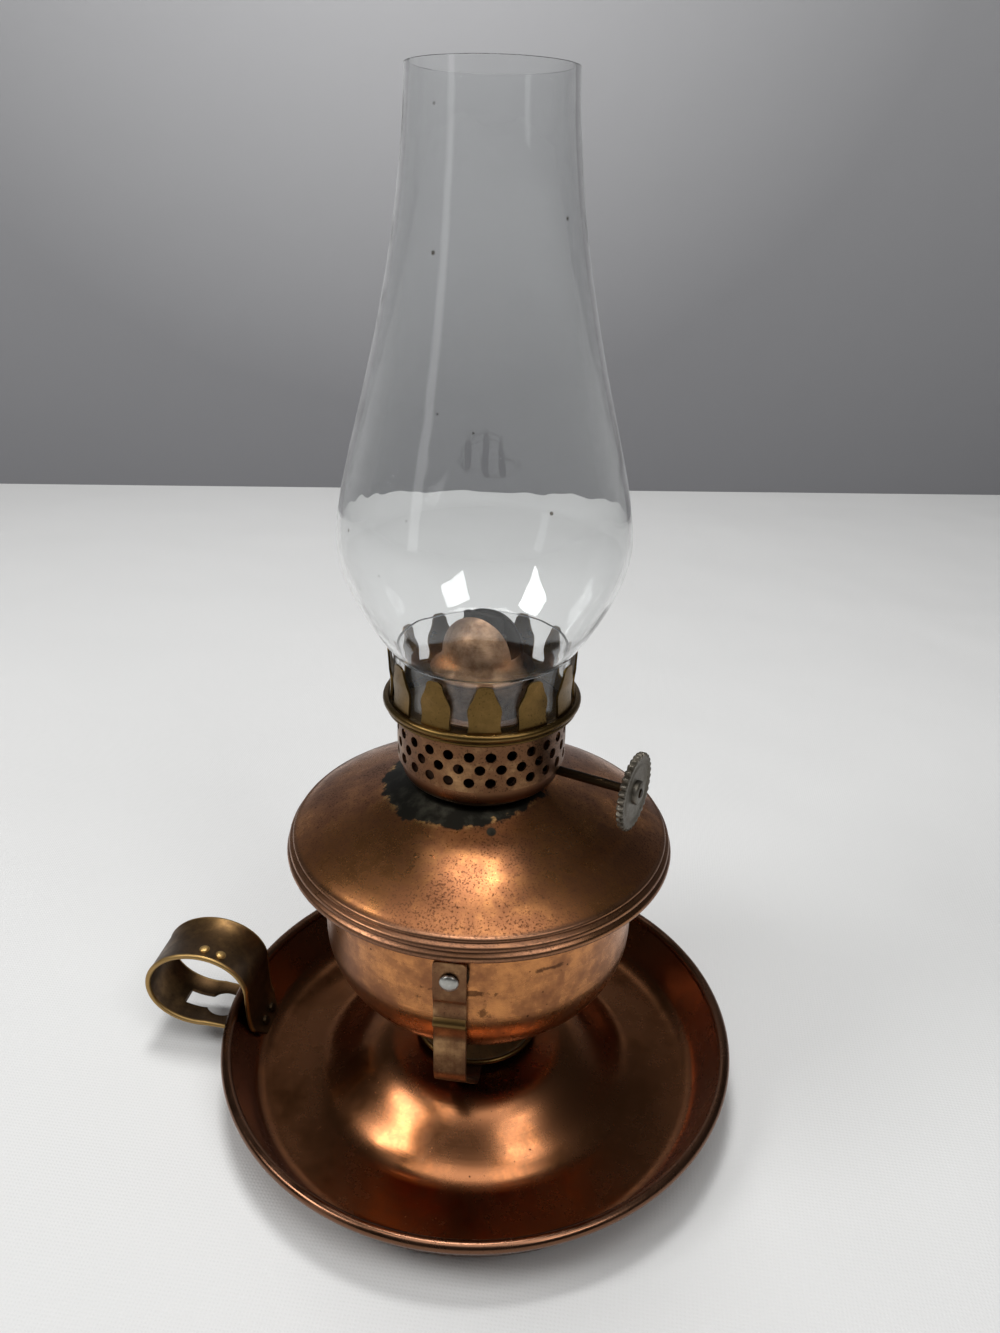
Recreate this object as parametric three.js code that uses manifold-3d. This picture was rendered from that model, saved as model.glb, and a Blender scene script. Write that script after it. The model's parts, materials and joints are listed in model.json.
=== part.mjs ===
// Miniature gimbal oil lamp: a copper font with a flat-wick burner and a glass chimney, hung on two
// rivets in a brass yoke that stands on a copper saucer with a finger ring.
// Millimetres, +Z up. The saucer rests on z = 0 and the finger ring points along -X.
import * as THREE from "three";
import { mergeVertices } from "three/addons/utils/BufferGeometryUtils.js";
import Module from "manifold-3d";

const wasm = await Module();
wasm.setup();

// Fits
const seatGap = 0.3; // clearance left between pieces that touch
const cutOverrun = 2; // how far a cutter passes what it cuts

// Saucer
const saucerRadius = 60;
const saucerHeight = 13.6;
const saucerSheet = 0.7;
const rimBeadRadius = 1.3;
const wallRun = 7.5; // how far the wall leans out
const wallFillet = 4;
const bossRun = 19.5; // of the slope round the boss
const bossRadius = 19.5;
const bossHeight = 10.7;

// Yoke
const yokeWidth = 6.6;
const yokeSheet = 0.9;
const yokeFootReach = 18.3;
const yokeBend = 6;
const armFootRise = 19.55; // of an arm's upright part above the foot
const crimpDrop = 11; // below the pivot
const crimpDepth = 0.8;
const crimpLength = 2.4;
const crimpFlatShare = 1 / 3;
const creaseDrop = 5.2; // below the pivot
const creaseStep = 0.45;
const creaseLength = 1;
const armTopRise = 4.5; // above the pivot
const armCornerRadius = 1.1;
const pivotHeight = 56.8;
const yokeRivetRadius = 1.5;
const yokeRivetHead = 3.2;
const yokeRivetHeadHeight = 0.6;
const yokePlateRadius = 14.6;
const yokePlateSheet = 0.6;
const yokePlateBead = 0.6;
const yokePlateCurl = THREE.MathUtils.degToRad(144);
const pivotRivetRadius = 1.2;
const pivotRivetHead = 1.9;
const pivotRivetHeadHeight = 0.9;
const pivotWasherRadius = 3.6;
const pivotWasherWidth = 1.35;
const rivetShoulderShare = 0.7; // of the head's radius
const rivetCrownShare = 0.8; // of the head's height, at its shoulder

// Font
const bowlRadius = 34.1;
const bowlSheet = 0.6;
const bowlFootRadius = 14.9;
const bowlDrop = 29.5; // of its bottom below the pivot
const bowlRoundRise = 18.3; // of its round part
const fontRimStandOut = 7.4; // beyond the bowl's wall
const fontRimRise = 8.3; // of its lower edge above the pivot
const fontRimHeight = 4.9;
const seamLip = 3;
const seamWall = 1.4;
const rimProfileDepth = 0.98;
const rimProfileShares = [0.5, 0, 0.1, 0.65, 0.5, 1.25, 1.2, 2.3]; // inward, from the bottom up
const domeSheet = 0.6;
const domeRise = 11.3;
const domeEndRadius = 14.8;
const domeHoleRadius = 12.3;
const domeSwellShares = [0.27, 0.42]; // of its run and its rise, the outer half of the bell
const domeFlareShares = [0.24, 0.3]; // and the inner half

// Collar and burner body
const collarSheet = 1.1;
const collarFlangeRadius = 14.2;
const collarFlangeHeight = 0.8;
const collarDepth = 7;
const burnerSheet = 0.5;
const cupFootRadius = 14;
const cupRadius = 16.8;
const cupHeight = 4;
const cupLap = 0.7;
const cupRoundShare = 0.3;
const neckDepth = 6.5;
const neckPlateDrop = 2;
const bandRadius = 17.5;
const bandHeight = 10.2;
const bandHoleRadius = 1.1;
const bandHoleCount = 26;
const bandRowHeights = [2.1, 5, 7.8];
const galleryFloorHole = 8.6;
const gallerySleeve = 1.7;
const galleryRadius = 20.3;
const galleryBeadRadius = 0.85;
const galleryCupDepth = 2.6;
const prongCount = 12;
const prongHeight = 9.9;
const prongWidth = 6.7;
const prongTipWidth = 3.6;
const prongInnerRadius = 18.45;
const prongFlare = 0.1;
const prongWaistShares = [0.94, 0.15]; // of half the width and of the height
const prongSwellShares = [0.4, 0.7]; // of the height, while the sides run straight
const prongTipShares = [0.75, 0.93]; // of the height, while they draw in
const prongTipEaseShare = 1.2;
const prongEndShare = 0.5;
const prongBendShare = 0.6; // of the height, where a prong flares out
const prongSeatShare = 0.8; // of the bead's radius, how far up the prongs start
const burnerTurn = THREE.MathUtils.degToRad(-20);

// Deck, wick and winder
const deckThickness = 0.5;
const deckHoleCount = 8;
const deckHoleRadius = 1.5;
const deckHoleCircle = 11.4;
const tubeLength = 10.4;
const tubeDepth = 3;
const tubeWall = 0.4;
const tubeDrop = 8.7; // below the cup
const tubeRise = 3.2; // into the flame spreader's dome
const wickStand = 12.7; // above the bottom of the bowl
const wickTrim = 0.4; // below the top of the flame spreader
const feedWheelRadius = 2.4;
const feedWheelRoot = 1.9;
const feedWheelTeeth = 10;
const feedWheelWidth = 0.8;
const feedWheelOffset = 2.6;
const ratchetBoxWall = 0.5;
const spindleRadius = 1;
const spindleRise = 2.2; // spindle above the foot of the cup
const thumbWheelReach = 33.1;
const thumbWheelRadius = 8.2;
const thumbWheelWidth = 1.4;
const thumbWheelTeeth = 32;
const thumbWheelToothDepth = 0.55;
const thumbHubRadius = 2.5;
const thumbHubStand = 0.7;

// Flame spreader
const spreaderFlangeRadius = 12;
const spreaderBaseRadius = 10.8;
const spreaderBeadRadius = 0.55;
const spreaderBeadRise = 8.1; // of its bead above its foot
const spreaderNeckRise = 3.5; // of its shoulder above its bead
const spreaderDomeRise = 0.5; // of its dome's middle above its shoulder
const spreaderDomeRadius = 8.2;
const spreaderSheet = 0.45;
const spreaderSlot = 5.2;

// Chimney
const chimneyFootRadius = 18;
const chimneyBulgeRadius = 28.2;
const chimneyTopRadius = 14.2;
const chimneyWall = 1.1;
const chimneyNeckRise = 12.6; // of its straight foot
const chimneyBulgeRise = 22.5; // from there to the widest place
const chimneyTaperRise = 78.3; // from there to the top
const neckLeaveShares = [0.09, 0.03]; // of the swell and its height, how it leaves the foot
const bulgeCurveShare = 0.39; // of the height from neck to bulge
const taperCurveShares = [0.18, 0.48]; // of the height from bulge to top
const taperWidthShare = 0.09;

// Finger ring
const ringWidth = 15;
const ringSheet = 0.9;
const ringStandOut = 20.3; // beyond the saucer's rim
const ringLoopRadius = 12.4;
const ringLoopRise = 10.2;
const ringLoopOffset = 4; // of the loop's middle above the saucer's rim
const ringTilt = THREE.MathUtils.degToRad(-5);
const ringEndWidth = 8.8;
const ringEdgeWidth = 0.9;
const ringEdgeSheet = 1.4;
const legFootHeight = 3.4;
const legBendHeight = 8.4;
const legTaperTop = 7;
const legStandOff = 0.5; // a flat leg meets the round wall at its two edges
const tabFootHeight = 1.4;
const tabTopHeight = 6.4;
const keyholeRadius = 4.2;
const keyholeOffset = 4.1; // of its round end beyond the saucer's rim
const keyholeSlotLength = 9.3; // from the middle of its round end
const keyholeSlotWidth = 4.6;
const handleRivetRadius = 0.8;
const handleRivetHead = 1.3;
const handleRivetHeadHeight = 0.6;
const handleRivetSpacing = 4.4;
const handleRivetHeight = 4.7;

// How finely round forms are drawn
const saucerSides = 32;
const fontSides = 32;
const burnerSides = 24;
const smallSides = 16;
const pinSides = 10;
const chimneySides = 24;
const airHoleSides = 6;
const beadSides = 7;

// Places worked out from the sizes above
const wallFootRadius = saucerRadius - wallRun;
const floorInnerRadius = bossRadius + bossRun;
const wallSlope = (saucerRadius - 2 * rimBeadRadius + saucerSheet - wallFootRadius)
  / (saucerHeight - 2 * rimBeadRadius);
const wallAngle = Math.atan2(1, wallSlope);
const legInset = saucerSheet + seatGap + legStandOff + ringSheet / 2;
const tabInset = seatGap + ringSheet / 2;
const ringReach = saucerRadius + ringStandOut;
const ringLoopHeight = saucerHeight + ringLoopOffset;
const keyholeReach = saucerRadius + keyholeOffset;
const keyholeSlotEnd = keyholeReach + keyholeSlotLength;
const armReach = bowlRadius + 2 * seatGap + pivotWasherWidth + yokeSheet / 2 - creaseStep;
const crimpHeight = pivotHeight - crimpDrop;
const creaseHeight = pivotHeight - creaseDrop;
const armTopHeight = pivotHeight + armTopRise;
const bowlBottom = pivotHeight - bowlDrop;
const bowlRoundTop = bowlBottom + bowlRoundRise;
const fontRimRadius = bowlRadius + fontRimStandOut;
const fontRimBottom = pivotHeight + fontRimRise;
const domeTop = fontRimBottom + fontRimHeight + domeRise;
const domeSeat = domeTop + seatGap;
const collarTop = domeSeat + collarFlangeHeight;
const cupBottom = collarTop + seatGap;
const bandBottom = cupBottom + cupHeight + seatGap;
const bandTop = bandBottom + bandHeight;
const galleryFloor = bandTop + seatGap;
const galleryFloorTop = galleryFloor + burnerSheet;
const galleryBeadHeight = galleryFloor + galleryCupDepth;
const spreaderFoot = galleryFloorTop + seatGap;
const spreaderBeadHeight = spreaderFoot + spreaderBeadRise;
const spreaderShoulder = spreaderBeadHeight + spreaderNeckRise;
const spreaderDomeFoot = spreaderShoulder + spreaderDomeRise;
const spreaderTop = spreaderDomeFoot + spreaderDomeRadius;
const chimneyFoot = galleryFloorTop + seatGap;
const chimneyNeckHeight = chimneyFoot + chimneyNeckRise;
const chimneyBulgeHeight = chimneyNeckHeight + chimneyBulgeRise;
const chimneyTop = chimneyBulgeHeight + chimneyTaperRise;
const tubeBottom = cupBottom - tubeDrop;
const tubeTop = spreaderDomeFoot + tubeRise;
const wickBottom = bowlBottom + wickStand;
const wickTop = spreaderTop - wickTrim;
const spindleHeight = cupBottom + spindleRise;
const wickThickness = tubeDepth - 2 * tubeWall - 2 * seatGap;
const spindleOffset = wickThickness / 2 + seatGap + feedWheelRadius;

// Finishes
const finish = (name, color, roughness, metalness) => {
  const material = new THREE.MeshStandardMaterial({ color, roughness, metalness });
  material.name = name;
  return material;
};
const copper = finish("polished copper", "#b8703f", 0.28, 1);
const darkCopper = finish("tarnished copper", "#7d4325", 0.34, 1);
const agedBrass = finish("aged brass", "#8a6d3d", 0.38, 1);
const darkBrass = finish("darkened brass", "#5d4a2b", 0.45, 1);
const rivetMetal = finish("tinned steel", "#b9b9b6", 0.3, 1);
const wheelMetal = finish("dull nickel", "#84807a", 0.42, 1);
const cotton = finish("charred cotton", "#cfc4ab", 0.95, 0);
const glass = finish("clear glass", "#dfe6e4", 0.05, 0);
glass.transparent = true;
glass.opacity = 0.3;

// A geometry with only merged positions, its faces turned outwards
function closed(geometry) {
  geometry.deleteAttribute("normal");
  geometry.deleteAttribute("uv");
  const merged = mergeVertices(geometry, 1e-4);
  const p = merged.attributes.position;
  const triangles = [];
  let volume = 0;
  const [a, b, c] = [new THREE.Vector3(), new THREE.Vector3(), new THREE.Vector3()];
  for (let i = 0; i < merged.index.count; i += 3) {
    const [u, v, w] = [0, 1, 2].map((k) => merged.index.getX(i + k));
    if (u === v || v === w || u === w) continue;
    triangles.push(u, v, w);
    a.fromBufferAttribute(p, u);
    b.fromBufferAttribute(p, v);
    c.fromBufferAttribute(p, w);
    volume += a.dot(b.cross(c));
  }
  merged.setIndex(volume < 0 ? triangles.reverse() : triangles);
  return merged;
}

function toSolid(geometry) {
  const g = closed(geometry);
  return new wasm.Manifold(new wasm.Mesh({
    numProp: 3,
    vertProperties: new Float32Array(g.attributes.position.array),
    triVerts: new Uint32Array(g.index.array),
  }));
}

function toGeometry(solid) {
  const m = solid.getMesh();
  const g = new THREE.BufferGeometry();
  g.setAttribute("position", new THREE.BufferAttribute(new Float32Array(m.vertProperties), 3));
  g.setIndex(new THREE.BufferAttribute(new Uint32Array(m.triVerts), 1));
  return closed(g);
}

const vec = ([x, y]) => new THREE.Vector2(x, y);

// A closed outline of [radius, height] points turned about Z
function turned(outline, sides) {
  const ring = [...outline, outline[0]].map(vec);
  return closed(new THREE.LatheGeometry(ring, sides).rotateX(Math.PI / 2));
}

// An outline in the plane of two axes, pushed along the third and centred on it
function pushed(outline, depth, holes = []) {
  const shape = new THREE.Shape(outline.map(vec));
  holes.forEach((hole) => shape.holes.push(new THREE.Path(hole.map(vec))));
  return new THREE.ExtrudeGeometry(shape, { depth, bevelEnabled: false }).translate(0, 0, -depth / 2);
}
const pushedAlongX = (outline, depth) => pushed(outline, depth).rotateX(Math.PI / 2).rotateZ(Math.PI / 2);
const pushedAlongY = (outline, depth) => pushed(outline, depth).rotateX(Math.PI / 2);

// A pin of a given radius along Z, X or Y, centred on the origin
const pin = (radius, length, sides = pinSides) => (
  new THREE.CylinderGeometry(radius, radius, length, sides).rotateX(Math.PI / 2));
const pinAlongX = (radius, length, sides = pinSides) => pin(radius, length, sides).rotateY(Math.PI / 2);
const pinAlongY = (radius, length, sides = pinSides) => pin(radius, length, sides).rotateX(Math.PI / 2);

function arc(x, y, radius, from, to, steps) {
  return Array.from({ length: steps + 1 }, (_, i) => {
    const a = from + ((to - from) * i) / steps;
    return [x + radius * Math.cos(a), y + radius * Math.sin(a)];
  });
}

function bezier(points, steps) {
  const curve = new THREE.CubicBezierCurve(...points.map(vec));
  return curve.getPoints(steps).map((p) => [p.x, p.y]);
}

// The path moved sideways by a distance, to the left of its direction
function beside(path, distance) {
  return path.map(([x, y], i) => {
    const [x0, y0] = path[Math.max(i - 1, 0)];
    const [x1, y1] = path[Math.min(i + 1, path.length - 1)];
    const before = vec([x - x0, y - y0]).normalize();
    const after = vec([x1 - x, y1 - y]).normalize();
    const along = before.clone().add(after).normalize();
    const spread = Math.max(along.dot(i > 0 ? before : after), 0.5);
    return [x - (along.y * distance) / spread, y + (along.x * distance) / spread];
  });
}

// The closed outline of a sheet that has one face on the path
const sheet = (path, thickness) => [...path, ...beside(path, thickness).reverse()];
// The closed outline of a strip centred on the path
const strip = (path, thickness) => [
  ...beside(path, thickness / 2), ...beside(path, -thickness / 2).reverse()];

// A path with each inner corner rounded to a radius
function rounded(corners, radius, steps = 4) {
  const path = [corners[0]];
  for (let i = 1; i < corners.length - 1; i += 1) {
    const [p, q, r] = [corners[i - 1], corners[i], corners[i + 1]].map(vec);
    const [u, v] = [p.clone().sub(q), r.clone().sub(q)];
    const half = u.angleTo(v) / 2;
    const reach = Math.min(radius / Math.tan(half), u.length() / 2, v.length() / 2);
    const start = q.clone().addScaledVector(u.normalize(), reach);
    const end = q.clone().addScaledVector(v.normalize(), reach);
    const curve = new THREE.QuadraticBezierCurve(start, q, end);
    path.push(...curve.getPoints(steps).map((s) => [s.x, s.y]));
  }
  path.push(corners[corners.length - 1]);
  return path;
}

const part = new THREE.Group();
const lamp = new THREE.Group();
const burner = new THREE.Group();
burner.rotation.z = burnerTurn;
lamp.add(burner);
part.add(lamp);

function add(name, geometry, material, parent = lamp) {
  const mesh = new THREE.Mesh(geometry, material);
  mesh.name = name;
  parent.add(mesh);
  return mesh;
}

// Saucer: spun sheet with a rolled rim, a flat resting ring and a raised centre
const wallRadiusAt = (height) => wallFootRadius + height * wallSlope;
const handleRivetAxis = new THREE.Vector3(-Math.sin(wallAngle), 0, -Math.cos(wallAngle));

function handleRivetPlace(side) {
  const radius = wallRadiusAt(handleRivetHeight);
  return new THREE.Vector3(-radius, side * handleRivetSpacing / 2, handleRivetHeight);
}

function alongHandleRivet(geometry, side) {
  const turn = new THREE.Quaternion().setFromUnitVectors(new THREE.Vector3(0, 0, 1), handleRivetAxis);
  const at = handleRivetPlace(side);
  return geometry.applyQuaternion(turn).translate(at.x, at.y, at.z);
}

const handleRivetHole = (side) => toSolid(alongHandleRivet(
  pin(handleRivetRadius + seatGap, 2 * (cutOverrun + ringSheet)), side));

function makeSaucer() {
  const riseSteps = 5;
  const under = bossHeight - saucerSheet;
  const rise = Array.from({ length: riseSteps + 1 }, (_, i) => {
    const share = i / riseSteps;
    const drop = (1 - Math.cos(Math.PI * share)) / 2;
    return [bossRadius + (floorInnerRadius - bossRadius) * share, under * (1 - drop)];
  });
  const beadHeight = saucerHeight - rimBeadRadius;
  const corner = rounded([
    [floorInnerRadius, 0], [wallFootRadius, 0], [wallRadiusAt(beadHeight), beadHeight],
  ], wallFillet, 3);
  const path = [[yokeRivetRadius + seatGap, under], ...rise, ...corner.slice(1)];
  const bead = arc(saucerRadius - rimBeadRadius, beadHeight, rimBeadRadius, 0, 2 * Math.PI, beadSides);
  return toGeometry(toSolid(turned(sheet(path, saucerSheet), saucerSides))
    .add(toSolid(turned(bead.slice(1), saucerSides)))
    .subtract(handleRivetHole(1))
    .subtract(handleRivetHole(-1)));
}
add("saucer", makeSaucer(), darkCopper);

// Finger ring: one brass strip that starts inside the rim, loops out and returns under it
const loopCentre = ringReach - ringSheet / 2
  - Math.hypot(ringLoopRadius * Math.cos(ringTilt), ringLoopRise * Math.sin(ringTilt));

function loopPoint(angle) {
  const u = ringLoopRadius * Math.cos(angle);
  const v = ringLoopRise * Math.sin(angle);
  return [
    loopCentre + u * Math.cos(ringTilt) - v * Math.sin(ringTilt),
    ringLoopHeight + u * Math.sin(ringTilt) + v * Math.cos(ringTilt),
  ];
}

function loopPath(from, to, steps) {
  return Array.from({ length: steps + 1 }, (_, i) => loopPoint(from + ((to - from) * i) / steps));
}

function makeFingerRing() {
  const besideWall = (height, inset) => [wallRadiusAt(height) + inset / Math.sin(wallAngle), height];
  const loop = loopPath(Math.PI, -Math.PI / 2, 16);
  const leg = [besideWall(legFootHeight, -legInset), besideWall(legBendHeight, -legInset)];
  const tab = rounded([
    loop[loop.length - 1], besideWall(tabTopHeight, tabInset), besideWall(tabFootHeight, tabInset),
  ], ringSheet * 2, 3);
  const toX = (outline) => outline.map(([r, z]) => [-r, z]);
  const strap = pushedAlongY(toX(strip([...leg, ...loop, ...tab.slice(1)], ringSheet)), ringWidth);
  let ring = toSolid(strap);
  const edgePath = [...loop, [keyholeReach - keyholeRadius, tab[1][1]]];
  [-1, 1].forEach((side) => {
    const edge = pushedAlongY(toX(strip(edgePath, ringEdgeSheet)), ringEdgeWidth);
    ring = ring.add(toSolid(edge.translate(0, side * (ringWidth - ringEdgeWidth) / 2, 0)));
    const outer = ringWidth / 2 + cutOverrun;
    const wedge = [
      [side * ringEndWidth / 2, 0], [side * outer, 0], [side * outer, legTaperTop],
      [side * ringWidth / 2, legTaperTop], [side * ringEndWidth / 2, legFootHeight],
    ];
    const wedgeDepth = keyholeReach - keyholeRadius - bossRadius;
    const taper = pushedAlongX(wedge, wedgeDepth).translate(-bossRadius - wedgeDepth / 2, 0, 0);
    ring = ring.subtract(toSolid(taper)).subtract(handleRivetHole(side));
  });
  const slotAngle = Math.asin(keyholeSlotWidth / 2 / keyholeRadius);
  const keyhole = [
    ...arc(-keyholeReach, 0, keyholeRadius, Math.PI + slotAngle, 3 * Math.PI - slotAngle, 12),
    [-keyholeSlotEnd, keyholeSlotWidth / 2], [-keyholeSlotEnd, -keyholeSlotWidth / 2],
  ];
  return toGeometry(ring.subtract(toSolid(pushed(keyhole, 2 * (ringLoopHeight - ringEdgeSheet * 2)))));
}
add("finger_ring", makeFingerRing(), agedBrass);

// Two small rivets clamp both ends of the finger ring through the saucer wall
function rivetOutline(radius, headRadius, headHeight, top, bottom) {
  const shoulder = headRadius * rivetShoulderShare;
  const crown = headHeight * rivetCrownShare;
  return [
    [0, bottom - headHeight], [shoulder, bottom - crown], [headRadius, bottom],
    [radius, bottom], [radius, top], [headRadius, top],
    [shoulder, top + crown], [0, top + headHeight],
  ];
}
[["near", -1], ["far", 1]].forEach(([name, side]) => {
  const reach = ringSheet / 2 + seatGap;
  const outline = rivetOutline(
    handleRivetRadius, handleRivetHead, handleRivetHeadHeight, tabInset + reach, -legInset - reach);
  const rivet = alongHandleRivet(turned(outline, pinSides), side);
  add(`handle_rivet_${name}`, closed(rivet), darkBrass);
});

// Yoke: one bent strip with a crimp and a joggle in each arm
function makeYoke() {
  const base = bossHeight + seatGap + yokeSheet / 2;
  const crimp = crimpLength / 2;
  const tabReach = armReach + creaseStep;
  const flat = crimp * crimpFlatShare;
  const bent = rounded([
    [0, base], [yokeFootReach, base], [armReach, base + armFootRise], [armReach, crimpHeight - crimp],
  ], yokeBend);
  const arm = [
    ...bent,
    [armReach + crimpDepth, crimpHeight - flat], [armReach + crimpDepth, crimpHeight + flat],
    [armReach, crimpHeight + crimp],
    [armReach, creaseHeight - creaseLength / 2], [tabReach, creaseHeight + creaseLength / 2],
    [tabReach, armTopHeight],
  ];
  const otherArm = arm.slice(1).map(([y, z]) => [-y, z]).reverse();
  const strap = toSolid(pushedAlongX(strip([...otherArm, ...arm], yokeSheet), yokeWidth));
  const half = yokeWidth / 2;
  const cornerX = half - armCornerRadius;
  const cornerZ = armTopHeight - armCornerRadius;
  const front = [
    [-half - cutOverrun, 0], [half + cutOverrun, 0], [half + cutOverrun, cornerZ],
    ...arc(cornerX, cornerZ, armCornerRadius, 0, Math.PI / 2, 4),
    ...arc(-cornerX, cornerZ, armCornerRadius, Math.PI / 2, Math.PI, 4),
    [-half - cutOverrun, cornerZ],
  ];
  const envelope = toSolid(pushedAlongY(front, 2 * (tabReach + cutOverrun)));
  const pivotHole = pinAlongY(pivotRivetRadius + seatGap, 2 * (tabReach + cutOverrun), pinSides)
    .translate(0, 0, pivotHeight);
  const rivetHole = pin(yokeRivetRadius + seatGap, 2 * (cutOverrun + yokeSheet)).translate(0, 0, base);
  return toGeometry(strap.intersect(envelope)
    .subtract(toSolid(pivotHole))
    .subtract(toSolid(rivetHole)));
}
add("yoke", makeYoke(), agedBrass);

// A pressed plate with a rolled edge covers the foot of the yoke
const platePress = bossHeight + 2 * seatGap + yokeSheet;
const plateTop = platePress + yokePlateSheet;
const plateBore = yokeRivetRadius + seatGap;
const plateEdge = yokePlateRadius - yokePlateBead;
add("yoke_plate", turned([
  [plateBore, platePress], [plateEdge, platePress],
  ...arc(plateEdge, platePress + yokePlateBead, yokePlateBead, -Math.PI / 4, yokePlateCurl, 6),
  [plateEdge - yokePlateBead * 2, plateTop], [plateBore, plateTop],
], burnerSides), darkBrass);

const yokeRivetTop = plateTop + seatGap;
const yokeRivetBottom = bossHeight - saucerSheet - seatGap;
add("yoke_rivet", turned(rivetOutline(
  yokeRivetRadius, yokeRivetHead, yokeRivetHeadHeight, yokeRivetTop, yokeRivetBottom,
), smallSides), darkBrass);

// Pivot rivets and their spacing washers, one pair on each side of the font
[["front", -1], ["rear", 1]].forEach(([name, side]) => {
  const outer = armReach + creaseStep + yokeSheet / 2 + seatGap;
  const inner = bowlRadius - bowlSheet - 2 * seatGap;
  const outline = rivetOutline(
    pivotRivetRadius, pivotRivetHead, pivotRivetHeadHeight, outer, inner);
  const rivet = turned(outline, smallSides).rotateX(side < 0 ? Math.PI / 2 : -Math.PI / 2);
  add(`pivot_rivet_${name}`, rivet, rivetMetal).position.z = pivotHeight;
  const bore = pivotRivetRadius + seatGap;
  const washerCentre = bowlRadius + seatGap + pivotWasherWidth / 2;
  const washer = turned([
    [bore, -pivotWasherWidth / 2], [pivotWasherRadius, -pivotWasherWidth / 2],
    [pivotWasherRadius, pivotWasherWidth / 2], [bore, pivotWasherWidth / 2],
  ], smallSides).rotateX(Math.PI / 2);
  add(`pivot_washer_${name}`, washer, darkBrass).position.set(0, side * washerCentre, pivotHeight);
});

// Font: a deep bowl, a shoulder seamed over its flange and a threaded collar
const seamInside = fontRimRadius - seamWall;
const flangeBottom = fontRimBottom + bowlSheet + seatGap;

function makeBowl() {
  const rise = bowlRoundTop - bowlBottom;
  const reach = bowlRadius - bowlFootRadius;
  const steps = 6;
  const round = Array.from({ length: steps + 1 }, (_, i) => {
    const a = (Math.PI / 2) * (i / steps);
    return [bowlFootRadius + reach * Math.sin(a), bowlBottom + rise * (1 - Math.cos(a))];
  });
  const flange = rounded([
    [bowlRadius, bowlRoundTop], [bowlRadius, flangeBottom], [seamInside - seatGap, flangeBottom],
  ], bowlSheet * 2, 2);
  const path = [[0, bowlBottom], ...round, ...flange.slice(1)];
  const bore = pinAlongY(pivotRivetRadius + seatGap, 2 * (bowlRadius + cutOverrun))
    .translate(0, 0, pivotHeight);
  return toGeometry(toSolid(turned(sheet(path, bowlSheet), fontSides)).subtract(toSolid(bore)));
}
add("font_bowl", makeBowl(), copper);

function makeShoulder() {
  const step = fontRimHeight / (rimProfileShares.length - 1);
  const beads = rimProfileShares.map((share, i) => (
    [fontRimRadius - share * rimProfileDepth, fontRimBottom + i * step]));
  const domeStart = beads[beads.length - 1];
  const drop = domeTop - domeStart[1];
  const run = domeStart[0] - domeEndRadius;
  const dome = bezier([
    domeStart, [domeStart[0] - run * domeSwellShares[0], domeStart[1] + drop * domeSwellShares[1]],
    [domeEndRadius + run * domeFlareShares[0], domeTop - drop * domeFlareShares[1]],
    [domeEndRadius, domeTop],
  ], 5);
  const skin = [...dome, [domeHoleRadius, domeTop]];
  const inside = beside(skin, domeSheet).reverse();
  const seatTop = flangeBottom + bowlSheet + seatGap;
  return turned([
    [seamInside - seamLip, fontRimBottom], ...beads, ...skin.slice(1), ...inside,
    [seamInside - seamWall, seatTop], [seamInside, seatTop],
    [seamInside, fontRimBottom + bowlSheet], [seamInside - seamLip, fontRimBottom + bowlSheet],
  ], fontSides);
}
add("font_shoulder", makeShoulder(), copper);

const collarRadius = domeHoleRadius - seatGap;
const collarBore = collarRadius - collarSheet;
add("font_collar", turned([
  [collarBore, domeTop - collarDepth], [collarRadius, domeTop - collarDepth],
  [collarRadius, domeSeat], [collarFlangeRadius, domeSeat],
  [collarFlangeRadius, collarTop], [collarBore, collarTop],
], burnerSides), darkBrass);

// Burner cup: a threaded neck, a plate that carries the wick tube and a round-bottomed cup
const neckRadius = collarBore - seatGap;
const cupTop = cupBottom + cupHeight + seatGap + cupLap;
const platePlane = cupBottom - neckPlateDrop;
const flatTube = (grow) => {
  const r = tubeDepth / 2 + grow;
  const x = tubeLength / 2 - tubeDepth / 2;
  return [
    ...arc(x, 0, r, -Math.PI / 2, Math.PI / 2, 6), ...arc(-x, 0, r, Math.PI / 2, 3 * Math.PI / 2, 6),
  ];
};
const spindleBore = (reach) => toSolid(
  pinAlongX(spindleRadius + seatGap, 2 * reach).translate(reach, spindleOffset, spindleHeight));

function makeCup() {
  const round = bezier([
    [cupFootRadius, cupBottom], [cupRadius - burnerSheet, cupBottom],
    [cupRadius, cupBottom + cupHeight * cupRoundShare], [cupRadius, cupBottom + cupHeight],
  ], 4);
  const wall = [...round, [cupRadius, cupTop]];
  const neckIn = neckRadius - burnerSheet;
  const outline = [
    [0, platePlane - burnerSheet], [neckIn, platePlane - burnerSheet],
    [neckIn, cupBottom - neckDepth], [neckRadius, cupBottom - neckDepth],
    [neckRadius, cupBottom], ...wall, ...beside(wall, burnerSheet).reverse(),
    [neckIn, cupBottom + burnerSheet], [neckIn, platePlane], [0, platePlane],
  ];
  const slot = pushed(flatTube(seatGap), 2 * cutOverrun).translate(0, 0, platePlane);
  return toGeometry(toSolid(turned(outline, burnerSides))
    .subtract(toSolid(slot))
    .subtract(spindleBore(cupRadius)));
}
add("burner_cup", makeCup(), darkBrass, burner);

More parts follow.
